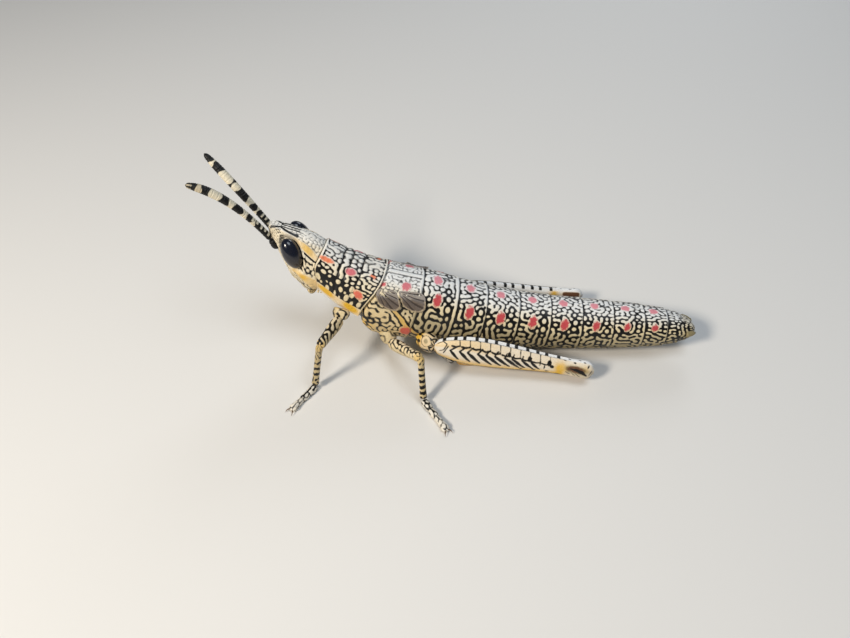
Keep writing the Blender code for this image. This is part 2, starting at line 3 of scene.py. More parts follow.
import bpy
import numpy as np
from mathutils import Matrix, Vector


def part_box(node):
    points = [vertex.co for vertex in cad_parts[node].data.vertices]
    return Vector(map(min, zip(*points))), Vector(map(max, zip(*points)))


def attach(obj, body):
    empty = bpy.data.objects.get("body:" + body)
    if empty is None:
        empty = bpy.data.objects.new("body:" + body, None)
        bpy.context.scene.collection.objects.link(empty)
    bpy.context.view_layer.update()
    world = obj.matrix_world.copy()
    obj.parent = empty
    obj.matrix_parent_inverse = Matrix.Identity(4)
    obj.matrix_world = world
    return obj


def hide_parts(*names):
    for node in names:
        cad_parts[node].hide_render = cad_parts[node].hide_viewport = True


# Looks of the painted grasshopper nymph. Lengths are in millimetres until a mesh or an object is made.
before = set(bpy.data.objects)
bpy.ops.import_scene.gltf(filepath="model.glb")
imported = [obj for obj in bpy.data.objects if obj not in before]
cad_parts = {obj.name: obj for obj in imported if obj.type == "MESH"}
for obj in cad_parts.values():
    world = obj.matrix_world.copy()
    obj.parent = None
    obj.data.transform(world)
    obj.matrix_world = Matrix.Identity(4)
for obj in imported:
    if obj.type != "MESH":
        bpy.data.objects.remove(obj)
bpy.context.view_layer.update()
mm = 0.001
far = 9.0               # a mark's distance where there is none
upright = np.array((0, 0, 1.0))
sides = {"L": 1, "R": -1}

trunkForm = {
    # x, z and y of the axis, pitch, yaw, half width, height above, depth below, squareness
    "stations": (
        (22.15, 2.3, 0, 0, 0, 0.34, 0.3, 0.26, 1),
        (21.75, 2.32, 0, 0, 0, 0.84, 0.72, 0.62, 1),
        (21.00, 2.33, 0, 1, 0, 1.2, 1.14, 1.02, 1),
        (19.5, 2.36, 0, 2, 0, 1.54, 1.58, 1.46, 0.98),
        (17.6, 2.4, 0, 2, 0, 1.74, 1.84, 1.7, 0.96),
        (15.1, 2.42, 0, 2, 0, 1.92, 2.04, 1.88, 0.96),
        (12.6, 2.45, 0, 4, 0, 2.06, 2.18, 2.00, 0.96),
        (10.00, 2.55, 0, 7, 0, 2.17, 2.3, 2.12, 0.96),
        (7.4, 2.78, 0, 9, 0, 2.25, 2.42, 2.26, 0.95),
        (4.85, 3.18, 0, 11, 0, 2.32, 2.54, 2.4, 0.93),
        (2.6, 3.62, 0, 13, 0, 2.38, 2.68, 2.52, 0.9),
        (0.3, 4.12, 0, 14, 0, 2.42, 2.86, 2.92, 0.84),
        (-1.5, 4.56, 0.03, 16, 1.5, 2.42, 2.82, 3.34, 0.82),
        (-3.2, 5.1, 0.1, 20, 4, 2.36, 2.7, 3.6, 0.8),
        (-3.7, 5.3, 0.14, 22, 5, 2.31, 2.64, 3.3, 0.81),
        (-4.2, 5.5, 0.18, 24, 6, 2.26, 2.56, 2.72, 0.82),
        (-6.3, 6.6, 0.4, 24.5, 7, 2.00, 2.28, 2.46, 0.86),
        (-8.4, 7.84, 0.66, 24, 7, 1.74, 2.08, 2.1, 0.9),
        (-9.2, 8.32, 0.76, 24, 7, 1.66, 1.96, 2.00, 0.9),
    ),
    "joints": (-0.8, 2.1, 4.52, 7.25, 9.85, 12.5, 15.08, 17.6, 19.55, 20.75),
    "sweep": ((-2.74, 0.0), (-2.91, 0.1), (-3.5, 0.6), (-3.78, 0.9), (-3.88, 1.0), (-4.42, 1.0)),
    "tailEnd": 22.15,
    "front": -8.4,          # where the skin ends, inside the head
    "girth": 2.25,          # radius of the chart that turns degrees into millimetres
    "rowStep": 0.068,
    "columns": 202,
    "stepDown": 0.1,       # how far each ring drops under the rim of the one before it
}

# Collar of the pronotum: depth below the top line, how far the edge lies behind its top point
collarFront = ((-1, 0), (0, 0), (0.6, -0.06), (1.2, -0.07), (2, 0.28), (2.8, 0.6), (3.6, 0.8), (6, 1.3))
collarRear = (
    (-1, 0), (0, 0), (1, -0.2), (2, -0.44), (3, -0.56), (4, -0.5), (4.5, -0.36), (5.2, 0.02), (6.5, 0.15),
)

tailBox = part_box("abdomen_tip")
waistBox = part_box("abdomen_5")
# from the lengths used here to the frame
shift = np.array((tailBox[1].x / mm - trunkForm["tailEnd"], (waistBox[0].y + waistBox[1].y) / 2 / mm, 0.0))


def readTable(table, x):
    # smooth curves through a table's rows, whose first column is the place
    rows = np.array(sorted(table), float)
    slope = np.empty_like(rows[:, 1:])
    slope[1:-1] = (rows[2:, 1:] - rows[:-2, 1:]) / (rows[2:, :1] - rows[:-2, :1])
    slope[0] = (rows[1, 1:] - rows[0, 1:]) / (rows[1, 0] - rows[0, 0])
    slope[-1] = (rows[-1, 1:] - rows[-2, 1:]) / (rows[-1, 0] - rows[-2, 0])
    x = np.clip(np.asarray(x, float), rows[0, 0], rows[-1, 0])
    i = np.clip(np.searchsorted(rows[:, 0], x, side="left") - 1, 0, len(rows) - 2)
    span = (rows[i + 1, 0] - rows[i, 0])[..., None]
    t = ((x - rows[i, 0])[..., None]) / span
    first = (2 * t**3 - 3 * t**2 + 1) * rows[i, 1:] + (t**3 - 2 * t**2 + t) * span * slope[i]
    found = first + (3 * t**2 - 2 * t**3) * rows[i + 1, 1:] + (t**3 - t**2) * span * slope[i + 1]
    return found[..., 0] if rows.shape[1] == 2 else np.moveaxis(found, -1, 0)


def even(*values):
    return np.broadcast_arrays(*[np.asarray(value, float) for value in values])


def signedPower(value, power):
    return np.sign(value) * np.abs(value) ** power


def smooth(low, high, x):
    t = np.clip((np.asarray(x, float) - low) / (high - low), 0.0, 1.0)
    return t * t * (3 - 2 * t)


def climb(value, x, *steps):
    # a value that changes smoothly by steps: start, end, change
    for low, high, change in steps:
        value = value + change * smooth(low, high, x)
    return value


def bell(x, width):
    return np.exp(-((np.asarray(x, float) / width) ** 2))


def glow(u, v, u0, v0, ru=1.0, rv=1.0, width=1.0):
    # a soft round patch
    return bell(np.hypot((u - u0) / ru, (v - v0) / rv), width)


def eased(t):
    return 0.5 - 0.5 * np.cos(np.pi * t)


def rounded(t, start, end, amount):
    # half width of a tube that closes between two places along it
    return np.sqrt(np.clip(1 - smooth(start, end, t) ** 2 * amount, 0, 1))


def unit(v):
    v = np.asarray(v, float)
    return v / np.linalg.norm(v, axis=-1, keepdims=True)


def crossAxes(axis, up):
    side = unit(np.cross(axis, up))
    return side, unit(np.cross(side, axis))


def trunkPoints(x, degrees, grow=0.0, rear=0.0, front=0.0):
    x, degrees, grow, rear, front = even(x, degrees, grow, rear, front)
    z, y, pitch, yaw, wide, high, deep, power = readTable(trunkForm["stations"], x)
    p, q, angle = np.radians(pitch), np.radians(yaw), np.radians(degrees)
    ahead = np.stack((-np.cos(p) * np.cos(q), np.cos(p) * np.sin(q), np.sin(p)), -1)
    left = np.stack((-np.sin(q), -np.cos(q), 0 * q), -1)
    up = -np.cross(left, ahead)
    across = signedPower(np.sin(angle), power) * (wide + grow)
    tall = signedPower(np.cos(angle), power)
    rise = tall * (np.where(tall > 0, high, deep) + grow)
    back = rear * readTable(collarRear, high - rise) + front * readTable(collarFront, high - rise)
    return np.stack((x, y, z), -1) + left * across[..., None] + up * rise[..., None] - ahead * back[..., None]


def chart(degrees):
    return np.radians(degrees) * trunkForm["girth"]


def least(*fields):
    found = fields[0]
    for field in fields[1:]:
        found = np.minimum(found, field)
    return found


def only(where, field):
    return np.where(where, field, far)


def within(field, edge=0.05):
    return smooth(edge, -edge, field)


def ellipse(u, v, u0, v0, ru, rv, turn=0.0):
    # distance to an oval, negative inside it
    c, s = math.cos(math.radians(turn)), math.sin(math.radians(turn))
    a = (u - u0) * c + (v - v0) * s
    b = (v - v0) * c - (u - u0) * s
    return (np.sqrt((a / ru) ** 2 + (b / rv) ** 2) - 1.0) * min(ru, rv)


def taper(u, v, route):
    # distance to a stroke whose half width, each point's third value, changes from point to point
    found = np.full(np.broadcast(u, v).shape, 99.0)
    for (u0, v0, h0), (u1, v1, h1) in zip(route, route[1:]):
        du, dv = u1 - u0, v1 - v0
        t = np.clip(((u - u0) * du + (v - v0) * dv) / (du * du + dv * dv), 0.0, 1.0)
        found = np.minimum(found, np.hypot(u - u0 - t * du, v - v0 - t * dv) - h0 - t * (h1 - h0))
    return found


def stroke(u, v, route, half=0.0):
    return taper(u, v, [(*spot, half) for spot in route])


class Marks:
    # distances to the drawn marks of one skin, and the tint of its colour spots
    def __init__(self, shape):
        self.dark = self.pale = self.spot = np.full(shape, far)
        self.hue = np.full(shape, 0.5)

    def ink(self, *fields):
        self.dark = least(self.dark, *fields)

    def clear(self, *fields):
        self.pale = least(self.pale, *fields)

    def colour(self, field, tint, less=0.0):
        self.hue = np.where(field < self.spot, tint, self.hue)
        self.spot = np.minimum(self.spot, field + less)

    def fields(self, **others):
        return {"pale": self.pale, "dark": self.dark, "spot": self.spot, "hue": self.hue, **others}


fieldDefaults = {"pale": far, "dark": far, "spot": far, "hue": 0.0, "gold": 0.0, "tone": 0.5}


class Shape:
    # rings of points gathered into one mesh, with a pattern chart and the fields that colour it
    def __init__(self):
        self.points, self.faces, self.corners = [], [], []
        self.fields = {name: [] for name in fieldDefaults}
        self.count = 0

    def grid(self, points, weave=None, caps=True, flip=None, **fields):
        rows, cols = points.shape[:2]
        if weave is None:
            weave = np.zeros((rows, cols + 1, 2))
        i, j = [a.ravel() for a in np.meshgrid(np.arange(rows - 1), np.arange(cols), indexing="ij")]
        k = (j + 1) % cols
        faces = np.stack((i * cols + j, i * cols + k, (i + 1) * cols + k, (i + 1) * cols + j), 1).tolist()
        corners = np.stack((weave[i, j], weave[i, j + 1], weave[i + 1, j + 1], weave[i + 1, j]), 1).tolist()
        given = {n: np.broadcast_to(fields.get(n, d), (rows, cols)) for n, d in fieldDefaults.items()}
        ends = ((0, -1), (rows - 1, 1)) if caps else ()
        for total, (row, order) in enumerate(ends, rows * cols):
            middle = weave[row, :-1].mean(0).tolist()
            for a in range(cols):
                faces.append([row * cols + a, row * cols + (a + 1) % cols, total][::order])
                corners.append([weave[row, a].tolist(), weave[row, a + 1].tolist(), middle][::order])
        points = np.concatenate([points.reshape(-1, 3)] + [points[row].mean(0)[None] for row, order in ends])
        if flip is None:
            flip = signedVolume(points, faces) < 0
        order = -1 if flip else 1
        for face, mark in zip(faces, corners):
            self.faces.append([self.count + a for a in face][::order])
            self.corners.extend(mark[::order])
        self.points.append(points)
        for n, values in given.items():
            middles = [values[row].mean() for row, order in ends]
            self.fields[n].append(np.concatenate((values.ravel(), middles)))
        self.count += len(points)
        return self

    def piece(self, name, material, replaces=(), slot=None):
        mesh = bpy.data.meshes.new(name)
        mesh.from_pydata(((np.concatenate(self.points) + shift) * mm).tolist(), [], self.faces)
        mesh.uv_layers.new(name="weave").data.foreach_set("uv", np.asarray(self.corners, np.float32).ravel())
        for n, values in self.fields.items():
            values = np.concatenate(values).astype(np.float32)
            mesh.attributes.new(n, "FLOAT", "POINT").data.foreach_set("value", values)
        mesh.update()
        mesh.shade_smooth()
        mesh.materials.append(material)
        made = newObject(name, mesh)
        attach(made, "root")
        if replaces:
            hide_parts(*replaces)


def settle(thing, **values):
    for key, value in values.items():
        setattr(thing, key, value)
    return thing


def newObject(name, data):
    made = bpy.data.objects.new(name, data)
    bpy.context.scene.collection.objects.link(made)
    return made


def signedVolume(points, faces):
    total = 0.0
    for face in faces[:: max(1, len(faces) // 20000)]:
        a = points[face[0]]
        for b, c in zip(face[1:], face[2:]):
            total += float(np.dot(a, np.cross(points[b], points[c])))
    return total


class Wire:
    # a shader socket on which sums are written as expressions
    def __init__(self, tree, socket=None):
        self.tree = tree
        self.socket = socket

    def fill(self, node, sockets):
        for key, value in sockets.items():
            if isinstance(value, Wire):
                self.tree.links.new(value.socket, node.inputs[key])
            else:
                node.inputs[key].default_value = value

    def make(self, kind, settings=None, sockets=None, out=0):
        node = settle(self.tree.nodes.new(kind), **(settings or {}))
        self.fill(node, sockets or {})
        return Wire(self.tree, node.outputs[out])

    def math(self, operation, *others, clamp=False):
        settings = {"operation": operation, "use_clamp": clamp}
        return self.make("ShaderNodeMath", settings, dict(enumerate((self,) + others)))

    def __add__(self, other):
        return self.math("ADD", other)

    def __mul__(self, other):
        return self.math("MULTIPLY", other)

    def __sub__(self, other):
        return self.math("SUBTRACT", other)

    def __rsub__(self, other):
        return self.make("ShaderNodeMath", {"operation": "SUBTRACT"}, {0: other, 1: self})

    __radd__ = __add__
    __rmul__ = __mul__

    def plus(self, other):
        return self.math("ADD", other, clamp=True)

    def inside(self, soft):
        return self.math("MULTIPLY_ADD", -1.0 / soft, 0.5, clamp=True)

    def field(self, name):
        return self.make("ShaderNodeAttribute", {"attribute_name": name, "attribute_type": "GEOMETRY"}, out=2)

    def blend(self, low, high):
        return self.make("ShaderNodeMix", {"data_type": "RGBA"}, {0: self, 6: low, 7: high}, out=2)

    def vector(self, operation, sockets):
        return self.make("ShaderNodeVectorMath", {"operation": operation}, {0: self, **sockets})

    def noise(self, scale, detail=2.0):
        return self.make("ShaderNodeTexNoise", {}, {"Vector": self, "Scale": scale, "Detail": detail})

    def cells(self, scale, randomness=1.0):
        sockets = {"Vector": self, "Scale": scale, "Randomness": randomness}
        return self.make("ShaderNodeTexVoronoi", {"voronoi_dimensions": "3D", "feature": "F1"}, sockets)


def rgba(r, g, b):
    return (r, g, b, 1.0)


cuticleLook = {
    # white: pale ground of the upper surfaces, its bluish tint a painted sky sheen
    "white": rgba(0.78, 0.8, 0.82),
    "cream": rgba(0.74, 0.62, 0.4),
    # olive: ground low on the flanks and underneath, its own colour darkened as painted shade
    "olive": rgba(0.275, 0.22, 0.11),
    "gold": rgba(0.72, 0.42, 0.032),
    "ink": rgba(0.005, 0.0045, 0.004),
    "pink": rgba(0.7, 0.25, 0.29),
    "red": rgba(0.51, 0.068, 0.075),
    "orange": rgba(0.8, 0.24, 0.11),
    "raggedness": 0.1,     # how far the edges of the marks wander
    "spotEdge": 4.2,        # how much more the edges of the colour spots wander
    "markSoft": 0.045,      # softness of the marks' edges, and of the spots'
    "spotSoft": 0.14,
    "mottle": 0.45,
    "roughness": 0.46,
    "inkRoughness": 0.38,
    "grain": 9.0,           # pits to a millimetre
    "relief": 0.012,
}


def startMaterial(name):
    # a material, the start of its shader sums and the place on the object in millimetres
    material = bpy.data.materials.new(name)
    material.use_nodes = True
    start = Wire(material.node_tree)
    place = start.make("ShaderNodeTexCoord", out=3).vector("MULTIPLY", {1: (1000.0, 1000.0, 1000.0)})
    return material, start, place


def cuticle(name, **changes):
    look = {**cuticleLook, **changes}
    material, start, place = startMaterial(name)
    ragged = (place.noise(5.0) - 0.5) * look["raggedness"]
    pale = (start.field("pale") + ragged * 0.6).inside(look["markSoft"])
    ink = (start.field("dark") + ragged * 0.6).inside(look["markSoft"]) * (1.0 - pale)
    # the ground runs white, cream, olive as tone rises: besides the real colours, the white carries painted
    # sky sheen and the olive painted shade
    tone = start.field("tone") + ragged
    ground = (tone * 2.0).plus(0.0).blend(look["white"], look["cream"])
    ground = (tone * 2.0 - 1.0).plus(0.0).blend(ground, look["olive"])
    ground = start.field("gold").plus(ragged * 2.0).blend(ground, look["gold"])
    hue = start.field("hue")
    colour = (hue * 2.0).plus(0.0).blend(look["pink"], look["red"])
    colour = (hue * 2.0 - 1.0).plus(0.0).blend(colour, look["orange"])
    ground = (start.field("spot") + ragged * look["spotEdge"]).inside(look["spotSoft"]).blend(ground, colour)
    mottle = place.noise(11.0, 3.0)
    shade = (mottle - 0.5) * look["mottle"] + 1.0
    ground = ground.vector("SCALE", {"Scale": shade})
    colour = ink.blend(ground, look["ink"])
    rough = ink * (look["inkRoughness"] - look["roughness"]) + look["roughness"] + (mottle - 0.5) * 0.25
    height = place.cells(look["grain"]).math("MINIMUM", 0.45) * -1.0 + place.noise(26.0) * 0.4
    relief = {"Strength": 0.7, "Distance": look["relief"] * mm, "Height": height}
    start.fill(material.node_tree.nodes["Principled BSDF"], {
        "Base Color": colour, "Roughness": rough, "Normal": start.make("ShaderNodeBump", {}, relief),
        "Specular IOR Level": 0.28, "Coat Weight": 0.05, "Coat Roughness": 0.3,
    })
    return material


growth = {
    "rounds": 14,
    "hold": 2.2,        # how firmly drawn marks stay as they are while the ink grows round them
}


def grownMarks(rowStep, columnStep, bias, seed, disorder=0.6):
    # a winding pattern that grows out of noise; the steps are shares of its spacing
    rows, cols = bias.shape
    waves = np.hypot(np.fft.fftfreq(rows, rowStep)[:, None], np.fft.fftfreq(cols, columnStep)[None, :])
    band = np.exp(-(((waves - 1.0) / 0.28) ** 2)) - 0.15 * np.exp(-((waves / 0.4) ** 2))
    draw = np.random.default_rng(seed)
    state = draw.uniform(-1, 1, bias.shape)
    uneven = np.fft.ifft2(np.fft.fft2(draw.standard_normal(bias.shape)) * np.exp(-(waves**2))).real
    bias = bias + uneven * disorder / uneven.std()
    for _ in range(growth["rounds"]):
        state = np.tanh(2.2 * np.fft.ifft2(np.fft.fft2(state) * band).real + bias)
    return np.fft.ifft2(np.fft.fft2(state) * np.exp(-((waves / 2.2) ** 2))).real


def inkOf(grown, place, shares, slope=14.0):
    # a signed distance that inks the wished share of the surface, by place
    place = np.broadcast_to(place, grown.shape)
    width = (place.max() - place.min()) / 14
    levels = [np.quantile(grown[np.abs(place - spot) < width], 1 - share) for spot, share in shares]
    return (np.interp(place, [spot for spot, share in shares], levels) - grown) / slope


def inkRise(grown, height):
    return height * np.clip(-grown * 1.5, -1, 1)


def held(bias, dark, pale):
    return bias + growth["hold"] * within(dark) * (1 - within(pale)) - growth["hold"] * within(pale)


def staggered(first, last, columns, top, bottom, rows, size, lean, seed):
    # marks in staggered rows, each a little out of line: place along, place down, half sizes and turn
    chance = np.random.default_rng(seed)
    pitch = (last - first) / columns
    drop = (bottom - top) / max(rows - 1, 1)
    found = []
    for row in range(rows):
        for column in range(columns):
            x = first + pitch * (column + 0.25 + 0.5 * (row % 2)) + chance.uniform(-0.24, 0.24) * pitch
            y = top + drop * row + chance.uniform(-0.26, 0.26) * drop
            wide = size * chance.uniform(0.5, 1.3)
            found.append((x, y, wide, wide * chance.uniform(0.8, 1.6), lean + chance.uniform(-25, 25)))
    return found


bodyMarks = {
    "spottedRings": 8,
    "sideShare": 0.45,          # place of the side spot along its ring
    "topShare": 0.4,
    "sideTurn": 50.0,           # degrees down from the top line
    "firstLift": 10.0,          # the first ring's spot sits higher
    "ringDots": ((0.86, -0.24, 0.17), (0.88, 0.44, 0.18), (0.78, -0.84, 0.13)),     # behind the side spot
    # two spots between the plate and the first ring joint: share of that stretch, degrees, half size, tint
    "noteSpots": ((0.05, 32, 0.22, 0.35), (0.6, 25, 0.38, 0.25)),
    "pleuraTurn": 106.0,        # the flank's spot, at the first ring joint
    "pleuraHalf": (0.42, 0.36),
    "oblique": ((-2.66, 74), (-0.15, 112)),     # ends of the flank's gold band
    "grooves": (
        ((-2.72, 38), (-2.72, 70)), ((-2.66, 73), (-0.15, 112)),
        ((-3.7, 92), (-2, 122)), ((-0.8, 20), (-0.8, 100)),
    ),
    # spacing of the grown marks, by degrees from the top line, and along the body
    "spacing": ((0, 0.31), (25, 0.33), (45, 0.38), (75, 0.41), (110, 0.44), (180, 0.52)),
    "spacingAlong": 0.43,
    # less ink near the top line: partly the pattern, partly painted sheen that pales the marks there
    "inkShares": (
        (0, 0.41), (20, 0.46), (34, 0.54), (52, 0.6), (80, 0.56), (110, 0.5), (150, 0.42), (180, 0.38),
    ),
    "thoraxSpacing": 0.31,
    "thoraxShares": ((0, 0.3), (40, 0.4), (80, 0.5), (130, 0.46), (180, 0.36)),
    "inkRelief": 0.01,
}


def bodyRoute(*spots):
    return [(x, chart(degrees)) for x, degrees in spots]


def bodyRelief(x, degrees):
    side = np.abs(degrees)
    v = chart(side)
    relief = np.zeros(np.broadcast(x, degrees).shape)
    for joint in trunkForm["joints"]:
        behind = x - joint
        relief += np.where(behind > 0, -trunkForm["stepDown"] * np.exp(-np.clip(behind, 0, 9) / 0.3),
                           0.03 * np.exp(np.clip(behind, -9, 0) / 0.22))
    relief -= 0.07 * bell(side - 112, 3.0) * smooth(-0.9, 0.2, x)
    relief += 0.035 * bell(degrees, 2.4) * smooth(-4.0, -3.0, x) * (1 - smooth(17, 20, x))
    for route in bodyMarks["grooves"]:
        relief -= 0.08 * bell(stroke(x, v, bodyRoute(*route)), 0.1)
    return relief + 0.06 * bell(stroke(x, v, bodyRoute((-2.35, 80), (-0.4, 110))), 0.22)


def ringSpots(share, turn, lift=0.0):
    # one spot for each ring: place along the body and degrees from the top line
    joints = trunkForm["joints"][:bodyMarks["spottedRings"] + 1]
    return [(start + (end - start) * share, turn - (lift if n == 0 else 0))
            for n, (start, end) in enumerate(zip(joints, joints[1:]))]


def bodyFields(x, degrees, columnStep):
    form = bodyMarks
    joints = trunkForm["joints"]
    side = np.abs(degrees)
    v = chart(side)
    marks = Marks(np.broadcast(x, degrees).shape)
    thorax = 1 - smooth(-1.4, -0.5, x)
    for n, (x0, d0) in enumerate(ringSpots(form["sideShare"], form["sideTurn"], form["firstLift"])):
        size = 1.0 if x0 < 12 else 0.9 if x0 < 15 else 0.8
        v0 = chart(d0)
        spot = ellipse(x, v, x0, v0, 0.36 * size, 0.55 * size, 8)
        marks.colour(spot, 0.5, 0.03)
        marks.clear(spot, ellipse(x, v, x0 - 0.05, v0 - 0.46 * size, 0.2, 0.2))
        sway = 0.1 * np.sin(np.array((0.0, 1.7, 3.1)) + n * 2.3)
        for (du, dv, r), off in zip(form["ringDots"], sway):
            dot = (x0 + du + off * 0.6, v0 + (dv + off) * size, r * size, r * (1.1 + 2 * off) * size)
            dot = ellipse(x, v, *dot)
            marks.clear(dot)
            marks.ink(dot - 0.17 * size)
        marks.ink(ellipse(x, v, x0 + 0.08, v0 + 0.7, 0.3, 0.15, 20))
    for x0, d0 in ringSpots(form["topShare"], 0.0):
        marks.colour(ellipse(x, v, x0, d0, 0.36, 0.34), 0.0)
    for share, d0, r, tint in form["noteSpots"]:
        x0 = alongPlate(1.0) + (joints[0] - alongPlate(1.0)) * share
        spot = ellipse(x, v, x0, chart(d0), r, r * 0.85)
        marks.colour(spot, tint)
        marks.clear(spot + 0.04)
    long, high = form["pleuraHalf"]
    spot = ellipse(x, v, joints[0] - long * 0.85, chart(form["pleuraTurn"]), long, high, 30)
    marks.colour(spot, 0.66)
    band = stroke(x, v, bodyRoute(*form["oblique"]), 0.09)
    marks.clear(spot - 0.02, band)
    marks.ink(only(band > 0, band - 0.1))
    below = np.where(side < 118, 0.0, far)
    for n, joint in enumerate(joints[:-1]):
        wide = 0.085 if n == 1 else 0.06 if n == 0 else 0.022
        marks.ink(np.abs(x - joint - 0.06) - 0.045 + below)
        marks.clear(np.abs(x - joint + wide + 0.02) - wide + below)
    for n in range(4):
        marks.ink(only(side > 14, np.abs(x - 20.4 - 0.34 * n - 0.12 * np.sin(3 * v)) - 0.04))
    ends = np.maximum(-4.3 - x, x + 0.9)
    marks.clear(np.maximum(v - 0.075, ends))
    marks.ink(np.maximum(np.abs(v - 0.13) - 0.035, ends))

    # ink grown around those marks
    bias = climb(0.66, side, (25, 45, -0.12), (60, 84, -0.34), (105, 130, -0.3)) + 0 * x
    bias = bias * (1 - thorax) + thorax * climb(0.6, side, (70, 90, -0.4), (120, 140, -0.3))
    bias = held(bias, marks.dark, marks.pale)
    grown = grownMarks(trunkForm["rowStep"] / form["spacingAlong"], columnStep, bias, 4)
    ink = inkOf(grown, side, form["inkShares"], 13.0)
    # the flanks under the wing pads have finer marks that stand upright
    lean = np.cos(2 * np.pi * (x / 0.36 + 0.25 * np.sin(v * 2.5)))
    bias = bias + 0.16 * lean * smooth(76, 88, side)
    fine = grownMarks(trunkForm["rowStep"] / form["thoraxSpacing"], columnStep * 1.4, bias, 8, 0.9)
    fine = inkOf(fine, side, form["thoraxShares"], 16.0)
    dark = np.where(marks.spot < 0.03, 0.2, least(marks.dark, ink + (fine - ink) * thorax))
    # whiter on the top line, olive down the flanks: partly the body's own colours, partly painted sky sheen
    # on top and painted shade below
    tone = climb(0.08, side, (14, 40, 0.2), (36, 58, 0.24), (58, 84, 0.26), (84, 118, 0.16))
    tone = tone - 0.26 * thorax * smooth(70, 86, side) + 0.22 * smooth(20.4, 21.4, x)
    gold = 0.18 * thorax * smooth(76, 90, side) * (1 - smooth(128, 145, side))
    gold = gold + 0.6 * glow(x, v, -3.75, chart(120), width=0.55) + 0.5 * smooth(0.08, 0.0, band)
    return marks.fields(dark=dark, gold=gold, tone=tone), inkRise(grown, form["inkRelief"])


def evenColumns(spacing, columns):
    # degrees round the body at which the columns are evenly spaced in the pattern's own measure
    fine = np.linspace(-180, 180, 3601)
    pace = 1.0 / np.interp(np.abs(fine), *np.array(spacing).T)
    total = np.concatenate(([0.0], np.cumsum((pace[1:] + pace[:-1]) / 2 * np.diff(chart(fine)))))
    return np.interp(np.linspace(0, total[-1], columns + 1), total, fine), total[-1] / columns


def buildBody(material):
    print("trunk skin")
    form = trunkForm
    x = np.arange(form["tailEnd"], form["front"], -form["rowStep"])[:, None]
    degrees, columnStep = evenColumns(bodyMarks["spacing"], form["columns"])
    degrees = degrees[None, :]
    tuck = climb(0.0, x, (-3.76, -3.92, -0.4), (-4.4, -8.4, -0.08))
    share = np.clip((-4.5 - x) / 3.96, 0, 1)
    fields, rise = bodyFields(x, degrees[:, :-1], columnStep)
    rise = np.concatenate((rise, rise[:, :1]), 1) * smooth(22.1, 21.6, x)
    rear = readTable(form["sweep"], x) * (1 - share)
    points = trunkPoints(x, degrees, bodyRelief(x, degrees) + tuck + rise, rear, share)
    nodes = ["abdomen_%d" % n for n in range(1, 10)]
    nodes += ["abdomen_tip", "metathorax", "mesothorax", "prothorax"]
    shape = Shape().grid(points[:, :-1], np.stack(even(x, chart(degrees)), -1), **fields)
    shape.piece("bodySkin", material, nodes, "body_skin")


pronotumForm = {
    "rear": -3.98,
    "front": -8.46,
    "wall": 0.3,
    "lobeRear": 117.0,          # degrees down to which the side lobe reaches at each end
    "lobeFront": 138.0,
    "lobeBulge": 3.5,
    "cornerRound": 8.5,
    "rows": 100,
    "columns": 220,
    "rowStep": 0.0448,          # mean steps between the points
    "columnStep": 0.046,
    "furrows": ((0.3, 0.39), (0.44, 0.46), (0.62, 0.7)),      # shares of its length, at the top and below
    "spacing": 0.34,
    "inkRelief": 0.01,
    # colour spots: share of its length, degrees, half length, half height, turn, tint
    "spots": (
        (0.1, 36, 0.5, 0.24, -6, 0.95), (0.5, 35, 0.36, 0.34, 0, 0.28),
        (0.78, 73, 0.42, 0.27, 35, 0.72), (0.83, 24, 0.36, 0.3, 0, 0.93),
    ),
    # cream marks of the black side lobe
    "blobColumns": 7,
    "blobRows": 4,
    "blobSize": 0.155,
    "blobSeed": 12,
}


def alongPlate(share):
    return pronotumForm["front"] + (pronotumForm["rear"] - pronotumForm["front"]) * share


def furrowLines(v):
    return [alongPlate(top + (low - top) * v / chart(100)) for top, low in pronotumForm["furrows"]]


def plateEdges(x):
    # distance from the plate's nearer end
    return np.minimum(x - pronotumForm["front"], pronotumForm["rear"] - x)


def lobeTop(x):
    # upper edge of the black lobe, which drops in steps towards the rear
    return climb(51, x, (-8.2, -7.6, 9), (-6.6, -5.8, 5), (-5.3, -4.7, 14))


def lobeBlobs():
    form = pronotumForm
    found = staggered(form["front"] + 0.15, form["rear"] - 0.25, form["blobColumns"], chart(55), chart(93),
                      form["blobRows"], form["blobSize"], 15, form["blobSeed"])
    return [blob for blob in found if blob[1] > chart(lobeTop(blob[0]) - 3)]


